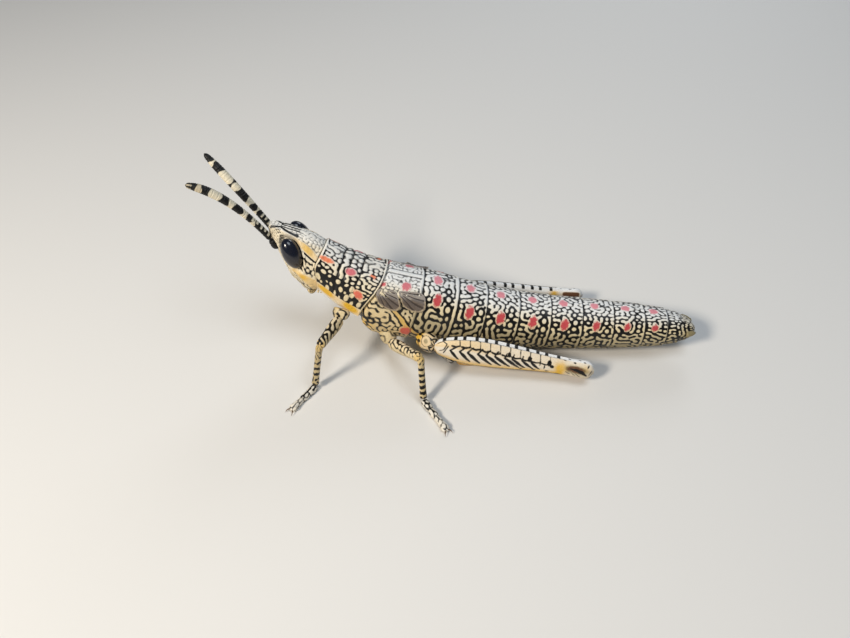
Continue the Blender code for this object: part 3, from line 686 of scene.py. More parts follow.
def pronotumFields(x, degrees):
    form = pronotumForm
    side = np.abs(degrees)
    v = chart(side)
    marks = Marks(np.broadcast(x, degrees).shape)
    behind = smooth(-5.75, -5.35, x)
    lower = chart(94 + 4 * np.sin(np.pi * np.clip((x + 8.46) / 4.4, 0, 1)))
    lobe = np.maximum(chart(lobeTop(x)) - v, v - lower)
    for blob in lobeBlobs():
        marks.clear(ellipse(x, v, *blob))
    marks.clear(only(side > 90, lower + 0.02 - v))
    for share, d0, ru, rv, turn, tint in form["spots"]:
        x0 = alongPlate(share)
        spot = ellipse(x, v, x0, chart(d0), ru, rv, turn)
        faint = 0.1 if tint > 0.92 and x0 > -6 else 0.0
        marks.colour(spot, tint, faint)
        marks.clear(spot - 0.03 + 5 * faint)
    for line in furrowLines(v):
        marks.ink(only(side < 74, np.abs(x - line) - 0.05))
    edges = plateEdges(x) - np.where(x < form["front"] + 1.0, 0.09, 0.15)
    marks.clear(edges)
    marks.ink(only(side > 12, np.abs(edges - 0.06) - 0.045))
    bias = 0.62 - 0.15 * behind + 0 * degrees
    rows = np.cos(2 * np.pi * (v / 0.27 + 0.12 * np.sin(x * 5.0)))
    bias = bias + 0.75 * rows * behind * (1 - smooth(70, 80, side))
    bias = held(bias, least(marks.dark, lobe), marks.pale)
    grown = grownMarks(form["rowStep"] / form["spacing"], form["columnStep"] / form["spacing"], bias, 9)
    ink = inkOf(grown, side, ((0, 0.33), (25, 0.44), (50, 0.5), (100, 0.5)), 16.0)
    lobe = lobe - 0.07 * np.clip(grown, -1, 1) + 0.05 * np.sin(x * 9.0 + v * 5.0)
    marks.ink(np.where(lobe < 0, least(lobe, ink), ink))
    gold = 0.14 * smooth(94, 100, side)
    for x0, d0 in ((-7.5, 105), (-5.0, 104)):
        gold = gold + 1.4 * glow(x, v, x0, chart(d0), 1.0, 0.46, 0.8) * smooth(94, 98, side)
    # whiter on top, cream down the sides: partly the plate's own colours, partly painted sky sheen on top
    tone = climb(0.14, side, (16, 48, 0.22), (50, 80, 0.16)) + 0.04 * behind - 0.24 * smooth(93, 99, side)
    return marks.fields(gold=gold, tone=tone), inkRise(grown, form["inkRelief"])


def pronotumRelief(x, degrees):
    side = np.abs(degrees)
    v = chart(side)
    relief = np.zeros(np.broadcast(x, degrees).shape)
    for line in furrowLines(v):
        relief -= 0.07 * bell(x - line, 0.09) * (1 - smooth(88, 100, side))
    relief += 0.05 * bell(degrees, 2.6)
    relief += 0.05 * bell(side - 58, 4.0) * smooth(-5.8, -5.2, x)
    wrinkles = np.sin(v * 26.0 + 2.0 * np.sin(x * 3.0))
    relief += 0.012 * wrinkles * smooth(-5.7, -5.3, x) * (1 - smooth(60, 80, side))
    relief += 0.05 * bell(plateEdges(x) - 0.1, 0.1) - 0.1 * bell(plateEdges(x), 0.05)
    return relief + 0.04 * bell(side - 112, 6.0)


def buildPronotum(material):
    print("pronotum plate")
    form = pronotumForm
    t = np.linspace(0, 1, form["rows"])[:, None]
    t = 0.6 * t + 0.4 * eased(t)
    x = form["rear"] + (form["front"] - form["rear"]) * t
    edge = form["lobeRear"] + (form["lobeFront"] - form["lobeRear"]) * t
    edge = edge + form["lobeBulge"] * np.sin(np.pi * t)
    for end in (t, 1 - t):
        edge = edge - form["cornerRound"] * np.clip(1 - end / 0.13, 0, 1) ** 2
    k = np.linspace(-1, 1, form["columns"] + 1)[None, :]
    k = 0.85 * k + 0.15 * np.sin(0.5 * np.pi * k)
    degrees = edge * k
    lip = -0.12 * bell(1 - np.abs(k), 0.012)
    fields, rise = pronotumFields(x, degrees)
    outer = trunkPoints(x, degrees, pronotumRelief(x, degrees) + lip + rise, 1 - t, t)
    inner = trunkPoints(x, degrees[:, ::-1], -form["wall"] + 0 * k, 1 - t, t)
    points = np.concatenate((outer, inner), 1)
    # the plate's inner side has no marks
    fields = {n: np.concatenate(np.broadcast_arrays(a, fieldDefaults[n], degrees)[:2], 1)
              for n, a in fields.items()}
    sheet = np.stack(even(x, chart(degrees)), -1)
    weave = np.concatenate((sheet, sheet[:, ::-1], sheet[:, :1]), 1)
    shape = Shape().grid(points, weave, caps=False, flip=True, **fields)
    # the two ends of the wall
    count = points.shape[1]
    for base, order in ((0, 1), ((form["rows"] - 1) * count, -1)):
        for k in range(count // 2 - 1):
            shape.faces.append([base + k, base + k + 1, base + count - 2 - k, base + count - 1 - k][::order])
            shape.corners.extend([[0.0, 0.0]] * 4)
    shape.piece("pronotumPlate", material, ["pronotum"], "pronotum_skin")


headForm = {
    "topRear": (-7.68, 0.69, 9.83),
    "pitch": 23.5,
    "yaw": 7.0,
    "length": 4.38,
    # distance ahead of its rear, top, bottom, half widths at top, middle and bottom
    "rows": (
        (0.00, 0.06, 4.5, 0.98, 1.66, 1.00), (0.45, -0.06, 5.24, 1.00, 1.7, 0.96),
        (1.00, -0.12, 4.78, 0.98, 1.66, 0.98), (1.6, -0.1, 4.12, 0.88, 1.52, 0.92),
        (2.2, -0.05, 3.44, 0.78, 1.28, 0.82), (2.8, 0.02, 2.74, 0.7, 1.02, 0.68),
        (3.4, 0.1, 2.04, 0.6, 0.8, 0.52), (3.9, 0.17, 1.44, 0.48, 0.6, 0.38),
        (4.25, 0.26, 0.98, 0.32, 0.38, 0.22), (4.38, 0.38, 0.76, 0.15, 0.19, 0.11),
    ),
    "widest": 0.42,                     # share of the height
    "fade": ((0, 1), (0.45, 0.667), (1, 0.333), (1.6, 0), (4.4, 0)),        # how far it follows the collar
    "eyeAt": (1.96, 1.34, 1.19),        # ahead, down, across
    "eyeHalf": (1.3, 0.73, 0.72),
    "eyeSlope": 47.0,
    "eyeToe": 12.0,
    "feelerRoot": (3.24, 0.47, 1.9),
    "columns": 236,
    "steps": 112,
}

headMarks = {
    # lines on the top: half gap at the brow, waist, flare towards the eyes, start, end and half width
    "outerLine": (0.36, 0.13, 0.14, 2.1, 4.2, 0.08),
    "innerLine": (0.13, 0.03, 0.00, 2.0, 3.5, 0.058),
    "dots": 8,
    # along and girth at both ends, bow, and half widths at the start, the end and the added middle;
    # girth is the distance from the top line, over the edge and down the side
    "stripe": ((2.2, 0.95), (0.1, 2.05), 0.08, (0.12, 0.22, 0.15)),
    "cheek": ((1.5, 4.1), (-0.6, 4.75), 0.03, (0.06, 0.54, 0.0)),
    "ring": (-0.1, 5.3, 0.46, 0.12, -20),
    # thin lines of the jaw, along and girth
    "jawLines": (((0.93, 4.62), (0.46, 5.15)), ((0.85, 4.95), (0.35, 5.45)), ((-0.35, 5.15), (-0.62, 5.5))),
    "cheekBlobs": (-0.45, 0.95, 3, 2.55, 3.95, 5, 0.095, -20, 3),
    "spacing": 0.27,
    "sparseShares": ((0.0, 0.28), (1.2, 0.28), (2.2, 0.34), (4.6, 0.16), (6.0, 0.14)),
    "denseShares": ((0.0, 0.62), (3.0, 0.7), (6.0, 0.66)),
    "inkRelief": 0.012,
}


def headAxes():
    p, q = math.radians(headForm["pitch"]), math.radians(headForm["yaw"])
    ahead = np.array((-math.cos(p) * math.cos(q), math.cos(p) * math.sin(q), math.sin(p)))
    left = np.array((-math.sin(q), -math.cos(q), 0.0))
    return ahead, left, np.cross(left, ahead)


def headPlace(along, across, down):
    ahead, left, below = headAxes()
    along, across, down = even(along, across, down)
    return headForm["topRear"] + ahead * along[..., None] + left * across[..., None] + below * down[..., None]


def headLocal(t, turn, grow=0.0):
    t, turn, grow = np.broadcast_arrays(t, turn, grow)
    top, bottom, wideTop, wideMid, wideLow = readTable(headForm["rows"], t)
    middle = headForm["widest"]
    share = 0.5 - 0.5 * signedPower(np.cos(turn), 0.92)
    upper = wideTop + (wideMid - wideTop) * np.sin(0.5 * np.pi * np.clip(share / middle, 0, 1))
    low = np.clip((share - middle) / (1 - middle), 0, 1)
    lower = wideLow + (wideMid - wideLow) * np.cos(0.5 * np.pi * low)
    wide = np.where(share < middle, upper, lower) + grow
    down = top - grow + (bottom - top + 2 * grow) * share
    along = t - np.interp(t, *np.array(headForm["fade"]).T) * readTable(collarFront, down)
    return along, wide * signedPower(np.sin(turn), 0.62), down


def eyeField(along, down):
    # distance to the eye's outline on the side of the head
    slope = math.radians(headForm["eyeSlope"])
    ahead, below = along - headForm["eyeAt"][0], down - headForm["eyeAt"][1]
    a = -ahead * math.cos(slope) + below * math.sin(slope)
    b = ahead * math.sin(slope) + below * math.cos(slope)
    long, short = headForm["eyeHalf"][:2]
    return (np.hypot(a / long, b / short) - 1.0) * short


def browGap(along, gap, waist, flare):
    return gap - waist * bell(along - 3.5, 0.28) + flare * smooth(3.3, 2.1, along)


def browLine(along, wide, gap, waist, flare, start, end, half):
    # one of the pair of lines along the top of the head
    aside = np.abs(wide - browGap(along, gap, waist, flare)) - half
    return np.maximum(aside, np.maximum(start - along, along - end))


def headStripe(along, girth, start, end, bow, halves, count=7):
    # a stroke that bows to one side and changes its width
    start, end = np.array(start), np.array(end)
    t = np.linspace(0, 1, count)
    aside = np.array((start[1] - end[1], end[0] - start[0])) / np.hypot(*(end - start))
    line = start + (end - start) * t[:, None] + aside * (bow * np.sin(np.pi * t))[:, None]
    half = halves[0] + (halves[1] - halves[0]) * t + halves[2] * np.sin(np.pi * t)
    return taper(along, girth, np.column_stack((line, half)))


def headRelief(along, across, down):
    wide = np.abs(across)
    girth = wide + down
    side = smooth(0.45, 0.75, wide)
    eye = eyeField(along, down)
    relief = -0.34 * smooth(0.26, -0.08, eye) * smooth(0.5, 0.8, wide)
    relief += 0.035 * bell(eye - 0.2, 0.07) * side * smooth(0.2, 0.5, down)
    # groove under the eye down to the jaw, the edge of the face, and the jaw's own groove
    for height, width, route in (
        (-0.06, 0.07, ((1.42, 2.35), (0.95, 3.25), (0.6, 4.05))),
        (0.05, 0.09, ((3.55, 0.95), (2.65, 2.05), (1.75, 3.15), (1.15, 4.15))),
        (-0.06, 0.08, ((-0.3, 3.4), (0.3, 4.05))),
    ):
        relief += height * bell(stroke(along, down, route), width) * side
    # rims of the top between the eyes, and its middle line
    rim = stroke(along, wide, ((1.9, 0.62), (2.3, 0.6), (3.0, 0.5), (3.6, 0.4), (4.2, 0.22)))
    relief += 0.05 * bell(rim, 0.09) * (1 - smooth(0.5, 0.8, down))
    relief -= 0.045 * bell(across, 0.22) * smooth(2.0, 2.9, along) * (1 - smooth(0.4, 0.7, down))
    relief += 0.025 * bell(across, 0.05) * smooth(0.3, 0.8, along) * (down < 0.45)
    relief += 0.03 * smooth(0.05, -0.1, headStripe(along, girth, *headMarks["stripe"]))
    relief += 0.05 * smooth(0.1, -0.15, headStripe(along, girth, *headMarks["cheek"])) * side
    front = smooth(0.55, 1.0, down) * (1 - smooth(0.25, 0.5, wide)) * smooth(1.2, 1.8, along)
    return relief + 0.05 * bell(wide - 0.2, 0.07) * front - 0.03 * bell(wide, 0.08) * front


def headFields(along, across, down, socket):
    form = headMarks
    wide = np.abs(across)
    girth = wide + down
    top = down < 0.62
    marks = Marks(along.shape)
    for name in ("outerLine", "innerLine"):
        marks.ink(only(top, browLine(along, wide, *form[name])))
    marks.ink(only(top, ellipse(along, wide, 2.12, 0.48, 0.18, 0.11, -20)))
    for n in range(form["dots"]):
        across = 0.48 + 0.11 * n + 0.09 * (-1) ** n
        marks.ink(ellipse(along, girth, 3.95 - 0.12 * n, across, 0.075, 0.055, 30))
    stripe = headStripe(along, girth, *form["stripe"])
    marks.ink(only((along < 1.15) & (girth > 1.8), np.abs(stripe - 0.14) - 0.09), socket - 0.05)
    marks.ink(np.abs(ellipse(along, girth, *form["ring"])) - 0.03)
    marks.ink(*[stroke(along, girth, route, 0.022) for route in form["jawLines"]])
    cheek = only(wide > 0.5, headStripe(along, girth, *form["cheek"]))
    marks.clear(stripe, cheek, *[ellipse(along, girth, *blob) for blob in staggered(*form["cheekBlobs"])])
    # cream field between the outer line and the eye
    inner = browGap(along, *form["outerLine"][:3])
    cream = np.maximum(np.maximum(inner + 0.05 - wide, girth - 1.08), np.maximum(2.12 - along, along - 3.35))
    marks.clear(only(marks.dark > 0.0, cream))
    marks.pale = np.where(marks.dark < -0.002, np.maximum(marks.pale, 0.03), marks.pale)
    marks.pale = np.maximum(marks.pale, 0.08 - socket)
    cheekBand = smooth(2.15, 2.4, girth) * (1 - smooth(3.75, 4.05, girth)) * (1 - smooth(0.9, 1.3, along))
    lowFace = smooth(4.1, 4.6, girth) * (1 - smooth(-0.05, 0.1, -cheek))
    bias = 0.6 + 0.05 * cheekBand + 0 * along
    bias = bias + growth["hold"] * within(marks.dark) - growth["hold"] * within(marks.pale)
    rowStep, columnStep = headForm["length"] / headForm["steps"], 10.5 / headForm["columns"]
    grown = grownMarks(rowStep / form["spacing"], columnStep / form["spacing"], bias, 17)
    sparse = inkOf(grown, girth, form["sparseShares"], 18.0)
    dense = inkOf(grown, girth, form["denseShares"], 18.0)
    marks.ink(sparse + (dense - sparse) * cheekBand)
    gold = 0.8 * within(stripe, 0.08) * (0.25 + 0.75 * bell(along - 1.0, 0.7))
    gold = gold + within(cheek, 0.08) * (0.5 + 0.5 * glow(along, girth, 0.5, 4.38, 0.35, 0.3))
    tone = climb(0.16, girth, (0.55, 0.9, 0.16), (2.2, 2.8, 0.1)) + 0.12 * lowFace
    tone = tone + 0.1 * smooth(2.6, 3.4, along) * smooth(0.5, 0.8, girth)
    fields = {"tone": tone, "dark": marks.dark, "pale": marks.pale, "gold": gold}
    return fields, inkRise(grown, form["inkRelief"])


def buildHead(material):
    print("head")
    length = headForm["length"]
    t = np.linspace(0, 1, headForm["steps"])[:, None]
    t = length * (0.88 * t + 0.12 * np.sin(0.5 * np.pi * t))
    turn = np.linspace(-np.pi, np.pi, headForm["columns"] + 1)[None, :]
    plain = headLocal(t, turn)
    front = smooth(length, 4.1, t)
    relief = headRelief(*plain) * front
    points = headPlace(*headLocal(t, turn, relief))[:, :-1]
    socket = np.minimum(eyeDistance(points, 1), eyeDistance(points, -1))
    fields, rise = headFields(*[a[:, :-1] for a in plain], socket)
    along, across, down = headLocal(t, turn, relief + np.concatenate((rise, rise[:, :1]), 1) * front)
    points = headPlace(along, across, down)[:, :-1]
    shape = Shape().grid(points, np.stack((along, across + down), -1), **fields)
    shape.piece("headSkin", material, ["head"], "body_skin")


def eyeAxes(side):
    ahead, left, below = headAxes()
    slope, toe = math.radians(headForm["eyeSlope"]), math.radians(headForm["eyeToe"])
    long = ahead * -math.cos(slope) + below * math.sin(slope)
    out = unit(left * side * math.cos(toe) - below * math.sin(toe))
    long = unit(long - out * np.dot(long, out))
    along, down, across = headForm["eyeAt"]
    return headPlace(along, across * side, down), long, np.cross(out, long), out


def eyeDistance(points, side):
    # how far a point lies outside the eye
    centre, *axes = eyeAxes(side)
    scaled = [((points - centre) @ axis) / half for axis, half in zip(axes, headForm["eyeHalf"])]
    reach = np.sqrt(sum(part**2 for part in scaled))
    return (1 - 1 / np.maximum(reach, 0.2)) * np.linalg.norm(points - centre, axis=-1)


def buildEyes(material):
    print("eyes")
    a = np.linspace(0.02, np.pi - 0.02, 56)[:, None]
    b = np.linspace(0, 2 * np.pi, 85)[None, :]
    for mark, side in sides.items():
        centre, long, short, out = eyeAxes(side)
        half = headForm["eyeHalf"]
        points = centre + out * (np.cos(a) * half[2])[..., None]
        points = points + long * (np.sin(a) * np.cos(b) * half[0])[..., None]
        points = (points + short * (np.sin(a) * np.sin(b) * half[1] * side)[..., None])[:, :-1]
        shade = smooth(0.5, -0.9, (points - centre)[..., 2])
        shape = Shape().grid(points, np.stack(even(a, b), -1), tone=shade)
        shape.piece("eye" + mark, material, ["eye_" + mark], "eye_skin")


feelerForm = {
    "middle": {"L": (-13.95, 0.1, 13.62), "R": (-13.61, 2.3, 12.58)},
    "tip": {"L": (-16.7, -0.4, 15.6), "R": (-16.5, 3.73, 15.49)},
    "widths": ((0.0, 0.54), (0.25, 0.58), (0.5, 0.66), (0.72, 0.7), (0.86, 0.64), (0.94, 0.5), (1.0, 0.34)),
    "stemHalf": (
        (-0.12, 0.24), (0.04, 0.36), (0.26, 0.385), (0.4, 0.345), (0.46, 0.3), (0.56, 0.335), (0.72, 0.25),
    ),
    "stem": 0.7,           # length of the thick first joint
    "joints": 16,
    "neck": 0.022,
    "columns": 28,
    # pale bands, counted in whole or half joints from the root: start, end, greyness
    "bands": {
        "L": ((13, 14, 1), (9.5, 11.5, 0), (7, 8, 0), (4.5, 5.5, 0), (3, 3.5, 0)),
        "R": ((14, 14.5, 0), (10.5, 12.5, 0), (9, 10, 0), (6, 7, 0), (4.5, 5, 0)),
    },
    "notches": (0.04, 0.08, 0.12, 0.16, 0.2, 0.245, 0.29),
}


def tube(points, top, half, flat=1.0, columns=20):
    ahead = unit(np.gradient(points, axis=0))
    side, up = crossAxes(ahead, top)
    turn = np.linspace(0, 2 * np.pi, columns + 1)[None, :-1, None]
    half = half[:, None, None]
    return points[:, None] + up[:, None] * np.cos(turn) * half * flat + side[:, None] * np.sin(turn) * half


def curve(start, pull, end, t):
    return start * (1 - t) ** 2 + pull * (2 * t * (1 - t)) + end * t**2


def runLength(points):
    return np.concatenate(([0.0], np.cumsum(np.linalg.norm(np.diff(points, axis=0), axis=1))))


def buildFeelers(material):
    print("feelers")
    form = feelerForm
    top = np.array((0.3, 0.0, 1.0))
    turn = np.linspace(0, 2 * np.pi, form["columns"] + 1)[None, :]
    for mark, side in sides.items():
        along, across, down = headForm["feelerRoot"]
        root = headPlace(along, across * side, down)
        tip = np.array(form["tip"][mark])
        pull = np.array(form["middle"][mark]) * 2 - (root + tip) * 0.5
        first = form["stem"] / np.linalg.norm(tip - root)
        s = np.linspace(0, 1, form["joints"] * 16 + 1)
        u = (first + (1 - first) * s)[:, None]
        points = curve(root, pull, tip, u)
        run = runLength(points)
        length = run[-1]
        near = np.abs(s * form["joints"] - np.round(s * form["joints"]))
        half = readTable(form["widths"], s) * 0.5
        half = half - form["neck"] * bell(near, 0.07) + 0.01 * bell(near - 0.18, 0.12)
        half = half * np.sqrt(np.clip(1 - smooth(0.962, 1.001, s) ** 2, 0.01, 1))
        rings = tube(points, top, half, 0.86, form["columns"])
        weave = np.stack(even(run[:, None], turn * 0.29), -1)
        around = turn[:, :-1]
        pale = np.full(rings.shape[:2], far)
        grey = np.zeros(pale.shape)
        wander = 0.035 * np.sin(around * 2 + 9 * u) / length * 2
        for start, end, dull in form["bands"][mark]:
            low, high = (first + (1 - first) * joint / form["joints"] for joint in (start, end))
            band = np.maximum(low + wander - u, u - high + wander) * length
            grey = np.where(band < 0.1, dull, grey)
            pale = np.minimum(pale, band)
        # the first joints are black with short pale notches on their upper side
        for n, place in enumerate(form["notches"]):
            aside = np.abs(np.sin(0.5 * (around - 0.6 - 0.3 * (n % 2)))) - 0.76
            pale = np.minimum(pale, np.maximum(np.abs(u - place) * length - 0.07, aside))
        end = smooth(0.9, 0.94, u) if mark == "L" else 0.0
        dark = -0.1 + 0.125 * end * np.abs(np.sin(around * 2.5)) + 0 * pale
        shape = Shape().grid(rings, weave, tone=0.26 + 0.45 * np.maximum(grey, end), pale=pale, dark=dark)
        d = np.linspace(-0.12, 0.72, 22)
        stem = root + unit(points[4] - root) * d[:, None]
        rings = tube(stem, top, readTable(form["stemHalf"], d), 0.95, form["columns"])
        notch = np.maximum(np.abs(d[:, None] - 0.43) - 0.05, np.abs(np.sin(0.5 * (around - 0.6))) - 0.6)
        shape.grid(rings, dark=-1.0, pale=notch, tone=0.45)
        shape.piece("feeler" + mark, material, ["scape_" + mark, "antenna_" + mark], "antenna_skin")


padForm = {
    # outlines, place along the trunk and degrees
    "fore": (
        (-4.06, 44), (-3.6, 41), (-3.1, 39), (-2.78, 41), (-2.52, 49), (-2.27, 58),
        (-2.14, 66), (-2.28, 72.5), (-2.72, 75), (-3.26, 73), (-3.76, 68.5), (-4.06, 60), (-4.14, 51),
    ),
    "hind": (
        (-2.56, 38), (-2.00, 34.5), (-1.3, 32), (-0.78, 33), (-0.5, 39), (-0.38, 48),
        (-0.32, 57.5), (-0.48, 64.5), (-0.92, 67.5), (-1.4, 66.5), (-1.86, 63), (-2.14, 57), (-2.36, 48),
    ),
    "hinge": {"fore": (-4.25, 47.0), "hind": (-2.75, 40.0)},
    "rise": 0.26,           # height of the free edge over the trunk
    "rim": 0.085,
    "veins": 9,
    "veinHeight": 0.035,
}


def closedCurve(points, count):
    points = np.asarray(points, float)
    t = np.linspace(0, len(points), count, endpoint=False)
    i = t.astype(int)
    f = (t - i)[:, None]
    a, b, c, d = [points[(i + k) % len(points)] for k in (-1, 0, 1, 2)]
    return 0.5 * (2 * b + (c - a) * f + (2 * a - 5 * b + 4 * c - d) * f**2 + (3 * b - a - 3 * c + d) * f**3)


def padRing(line, middle, hinge, layer, inset):
    # one ring of a pad: its place, how far it stands off the trunk, and its rim, veins and tone
    form = padForm
    x, degrees = (line + (middle - line) * inset).T
    across = chart(degrees - hinge[1])
    reach = np.hypot(x - hinge[0], across)
    bearing = np.arctan2(across, x - hinge[0])
    ridge = 0.5 + 0.5 * np.cos(bearing * form["veins"] * 3.2 + 0.5 * np.sin(reach * 3))
    edge = inset * 0.95
    top = line[:, 1].min()
    free = smooth(top + 6, top + 26, line[:, 1]) * (1 - inset) + smooth(top + 6, top + 26, degrees) * inset
    free = free * smooth(0.15, 0.8, np.hypot(line[:, 0] - hinge[0], chart(line[:, 1] - hinge[1])))
    grow = 0.01 + form["rise"] * free * (1 - 0.35 * smooth(0.0, 0.7, inset))
    if layer < 1:
        grow = grow * (0.5 + 0.5 * layer) - 0.05 * (layer < 0)
    else:
        veins = form["veinHeight"] * (ridge**2 - 0.4)
        grow = grow + veins * smooth(0.1, 0.26, inset) * smooth(0.1, 0.5, reach)
        grow = grow + 0.03 * bell(edge - 0.05, 0.05) * free
    rim = only((free > 0.35) & (layer >= 0), edge - form["rim"])
    dark = only((layer == 1) & (inset > 0.12), 0.11 - 0.17 * (1 - ridge) ** 2)
    return x, degrees, grow, rim, dark, 0.1 + 0.75 * smooth(-0.1, 0.9, free)


def buildPads(material):
    print("wing pads")
    # under side, rim and top side: layer and share of the way to the middle
    insets = np.concatenate((np.linspace(0, 0.1, 4), np.linspace(0.13, 0.24, 6), np.linspace(0.28, 0.98, 24)))
    layers = [(-1, 0.98), (-1, 0.5), (-1, 0.0), (0, 0.0), (0.5, 0.0)] + [(1, inset) for inset in insets]
    for name in ("fore", "hind"):
        line = closedCurve(padForm[name], 150)
        middle = np.array(padForm[name]).mean(0)
        rings = [padRing(line, middle, padForm["hinge"][name], layer, inset) for layer, inset in layers]
        x, degrees, grow, rim, dark, tone = [np.stack(rows) for rows in zip(*rings)]
        weave = np.stack((x, chart(degrees)), -1)
        weave = np.concatenate((weave, weave[:, :1]), 1)
        for mark, side in sides.items():
            shape = Shape().grid(trunkPoints(x, degrees * side, grow), weave, spot=rim, dark=dark, tone=tone)
            shape.piece("%sPad%s" % (name, mark), material, ["%s_pad_%s" % (name, mark)], "pad_skin")


legForm = {
    # coxa root, trochanter, knee, ankle, toe
    "foreL": ((-6.55, -1.35, 4.75), (-6.72, -1.95, 4.12), (-7.8, -5.22, 4.55), (-8.52, -5.78, 0.52),
              (-10.1, -8.2, 0.27)),
    "foreR": ((-6.55, 1.95, 4.75), (-6.62, 2.4, 4.12), (-6.7, 5.05, 4.6), (-7.55, 5.1, 0.52),
              (-8.6, 7.3, 0.27)),
    "midL": ((-3.1, -1.45, 2.6), (-2.72, -2.15, 1.72), (-0.12, -5.35, 3.7), (0.18, -6.8, 0.52),
             (2.12, -9.6, 0.27)),
    "midR": ((-3.08, 1.52, 2.63), (-2.72, 2.22, 1.75), (-0.55, 4.7, 3.7), (-0.2, 5.1, 0.52),
             (1.75, 6.55, 0.27)),
    "hindL": ((0.00, -1.95, 2.2), (0.9, -3.14, 2.62), (13.6, -4.24, 1.46), (2.75, -2.95, 0.33),
              (1.15, -1.3, 0.27)),
    "hindR": ((0.00, 1.95, 2.3), (0.9, 3.14, 2.82), (13.6, 4.24, 1.6), (2.75, 2.95, 0.33), (1.15, 1.3, 0.27)),
    "lean": 16.0,
    "bow": 0.12,
    "footTurn": 18.0,
    "footHeight": 0.24,
}

# Thickness: share of the length, half depth, half width
legThickness = {
    "coxa": ((0.0, 0.66, 0.6), (0.45, 0.7, 0.63), (0.85, 0.56, 0.5), (1.0, 0.4, 0.36)),
    "hindCoxa": ((-0.1, 0.84, 0.71), (0.4, 0.92, 0.78), (0.8, 0.74, 0.63), (1.0, 0.46, 0.39)),
    "femur": (
        (0, 0.32, 0.3), (0.1, 0.52, 0.44), (0.35, 0.56, 0.46), (0.72, 0.46, 0.38), (0.92, 0.43, 0.36),
        (1, 0.3, 0.27),
    ),
    "tibia": (
        (0, 0.25, 0.25), (0.06, 0.3, 0.28), (0.2, 0.26, 0.26), (0.8, 0.26, 0.26), (0.94, 0.29, 0.29),
        (1, 0.25, 0.25),
    ),
    "hindFemur": (
        (0, 0.46, 0.34), (0.035, 0.72, 0.46), (0.1, 0.98, 0.56), (0.2, 1.22, 0.62), (0.33, 1.26, 0.62),
        (0.5, 1.08, 0.56), (0.66, 0.86, 0.48), (0.8, 0.76, 0.45), (0.89, 0.79, 0.46), (0.95, 0.81, 0.47),
        (1, 0.53, 0.33),
    ),
    "hindTibia": (
        (0, 0.22, 0.22), (0.05, 0.3, 0.26), (0.14, 0.22, 0.2), (0.8, 0.2, 0.2), (0.95, 0.27, 0.26),
        (1, 0.24, 0.22),
    ),
    "tarsus": (
        (0, 0.16, 0.24), (0.05, 0.3, 0.29), (0.26, 0.3, 0.3), (0.31, 0.24, 0.24), (0.36, 0.29, 0.28),
        (0.5, 0.29, 0.28), (0.55, 0.24, 0.22), (0.62, 0.26, 0.23), (0.84, 0.3, 0.29), (0.9, 0.27, 0.34),
        (1, 0.1, 0.2),
    ),
}


def limb(shape, start, end, part, up, rows, columns, fields, relief=None, bow=0.0, turn=0.0, floor=False,
         lift=None):
    start, end = np.asarray(start, float), np.asarray(end, float)
    side, top = crossAxes(unit(end - start), up)
    profile = legThickness[part]
    low = profile[0][0]
    t = np.linspace(0, 1, rows)
    s = low + (1 - low) * eased(t) * 0.35 + 0.65 * (1 - low) * t
    deep, wide = readTable(profile, s)
    girth = 0.5 * (deep.max() + wide.max())
    reach = (s - low) / (1 - low)
    ends = rounded(reach, 0.965, 1.0, 0.75) * rounded(reach, 0.035, 0.0, 0.75)
    deep, wide = (deep * ends)[:, None], (wide * ends)[:, None]
    s, degrees = np.meshgrid(s, np.linspace(-180, 180, columns + 1), indexing="ij")
    extra = relief(s, degrees) if relief else 0.0
    a = np.radians(degrees + turn)
    centre = start + (end - start) * s[..., None] + top * (bow * np.sin(np.pi * s))[..., None]
    if lift is not None:
        centre[..., 2] = lift
    points = centre + top * (np.cos(a) * (deep + extra))[..., None]
    points = points + side * (np.sin(a) * (wide + extra))[..., None]
    if floor:
        points[..., 2] = np.maximum(points[..., 2], 0.0)
    length = np.linalg.norm(end - start)
    weave = np.stack((s * length, np.radians(degrees) * girth), -1)
    shape.grid(points[:, :-1], weave, **fields(s[:, :-1], degrees[:, :-1], length))


def limbGrown(s, length, girth, spacing, spacingRound, bias, seed):
    return grownMarks(length / s.shape[0] / spacing, girth / s.shape[1] / spacingRound, bias, seed)


walkForm = {
    # spacing of the marks, bias and inked share at the start, middle and end of each length
    "foreCoxa": (0.33, 0.3, (0.42, 0.48, 0.48)),
    "midCoxa": (0.38, 0.1, (0.26, 0.3, 0.3)),
    "foreFemur": (0.37, 0.15, (0.48, 0.54, 0.58)),
    "midFemur": (0.36, 0.15, (0.46, 0.5, 0.46)),
    "foreTibia": (0.36, 0.1, (0.34, 0.46, 0.58)),
    "midTibia": (0.38, 0.1, (0.34, 0.54, 0.66)),
    "rings": 7,
}


def walkMarks(kind, seed):
    def fields(s, degrees, length):
        spacing, bias, shares = walkForm[kind]
        v = np.radians(degrees)
        upper = 0.5 + 0.5 * np.cos(v)
        bias = bias + 0.25 * upper + 0 * s
        if kind.endswith("Tibia"):
            rings = np.cos(2 * np.pi * (s * walkForm["rings"] + 0.1 * np.sin(v) + 0.2))
            bias = bias + 1.3 * rings * smooth(0.1, 0.3, s)
        grown = limbGrown(s, length, 2.6, spacing, spacing, bias, seed)
        ink = inkOf(grown, s, list(zip((0.1, 0.5, 0.9), shares)))
        ink = ink + 0.07 * (1 - upper) * kind.endswith("Femur")
        gold = 0.1 + 0.4 * smooth(0.88, 0.96, s) * kind.endswith("Femur") + 0.3 * smooth(0.14, 0.0, s)
        return {"dark": ink, "tone": 0.4 + 0.42 * (1 - upper), "gold": gold}

    return fields


tarsusJoints = (0.31, 0.55)


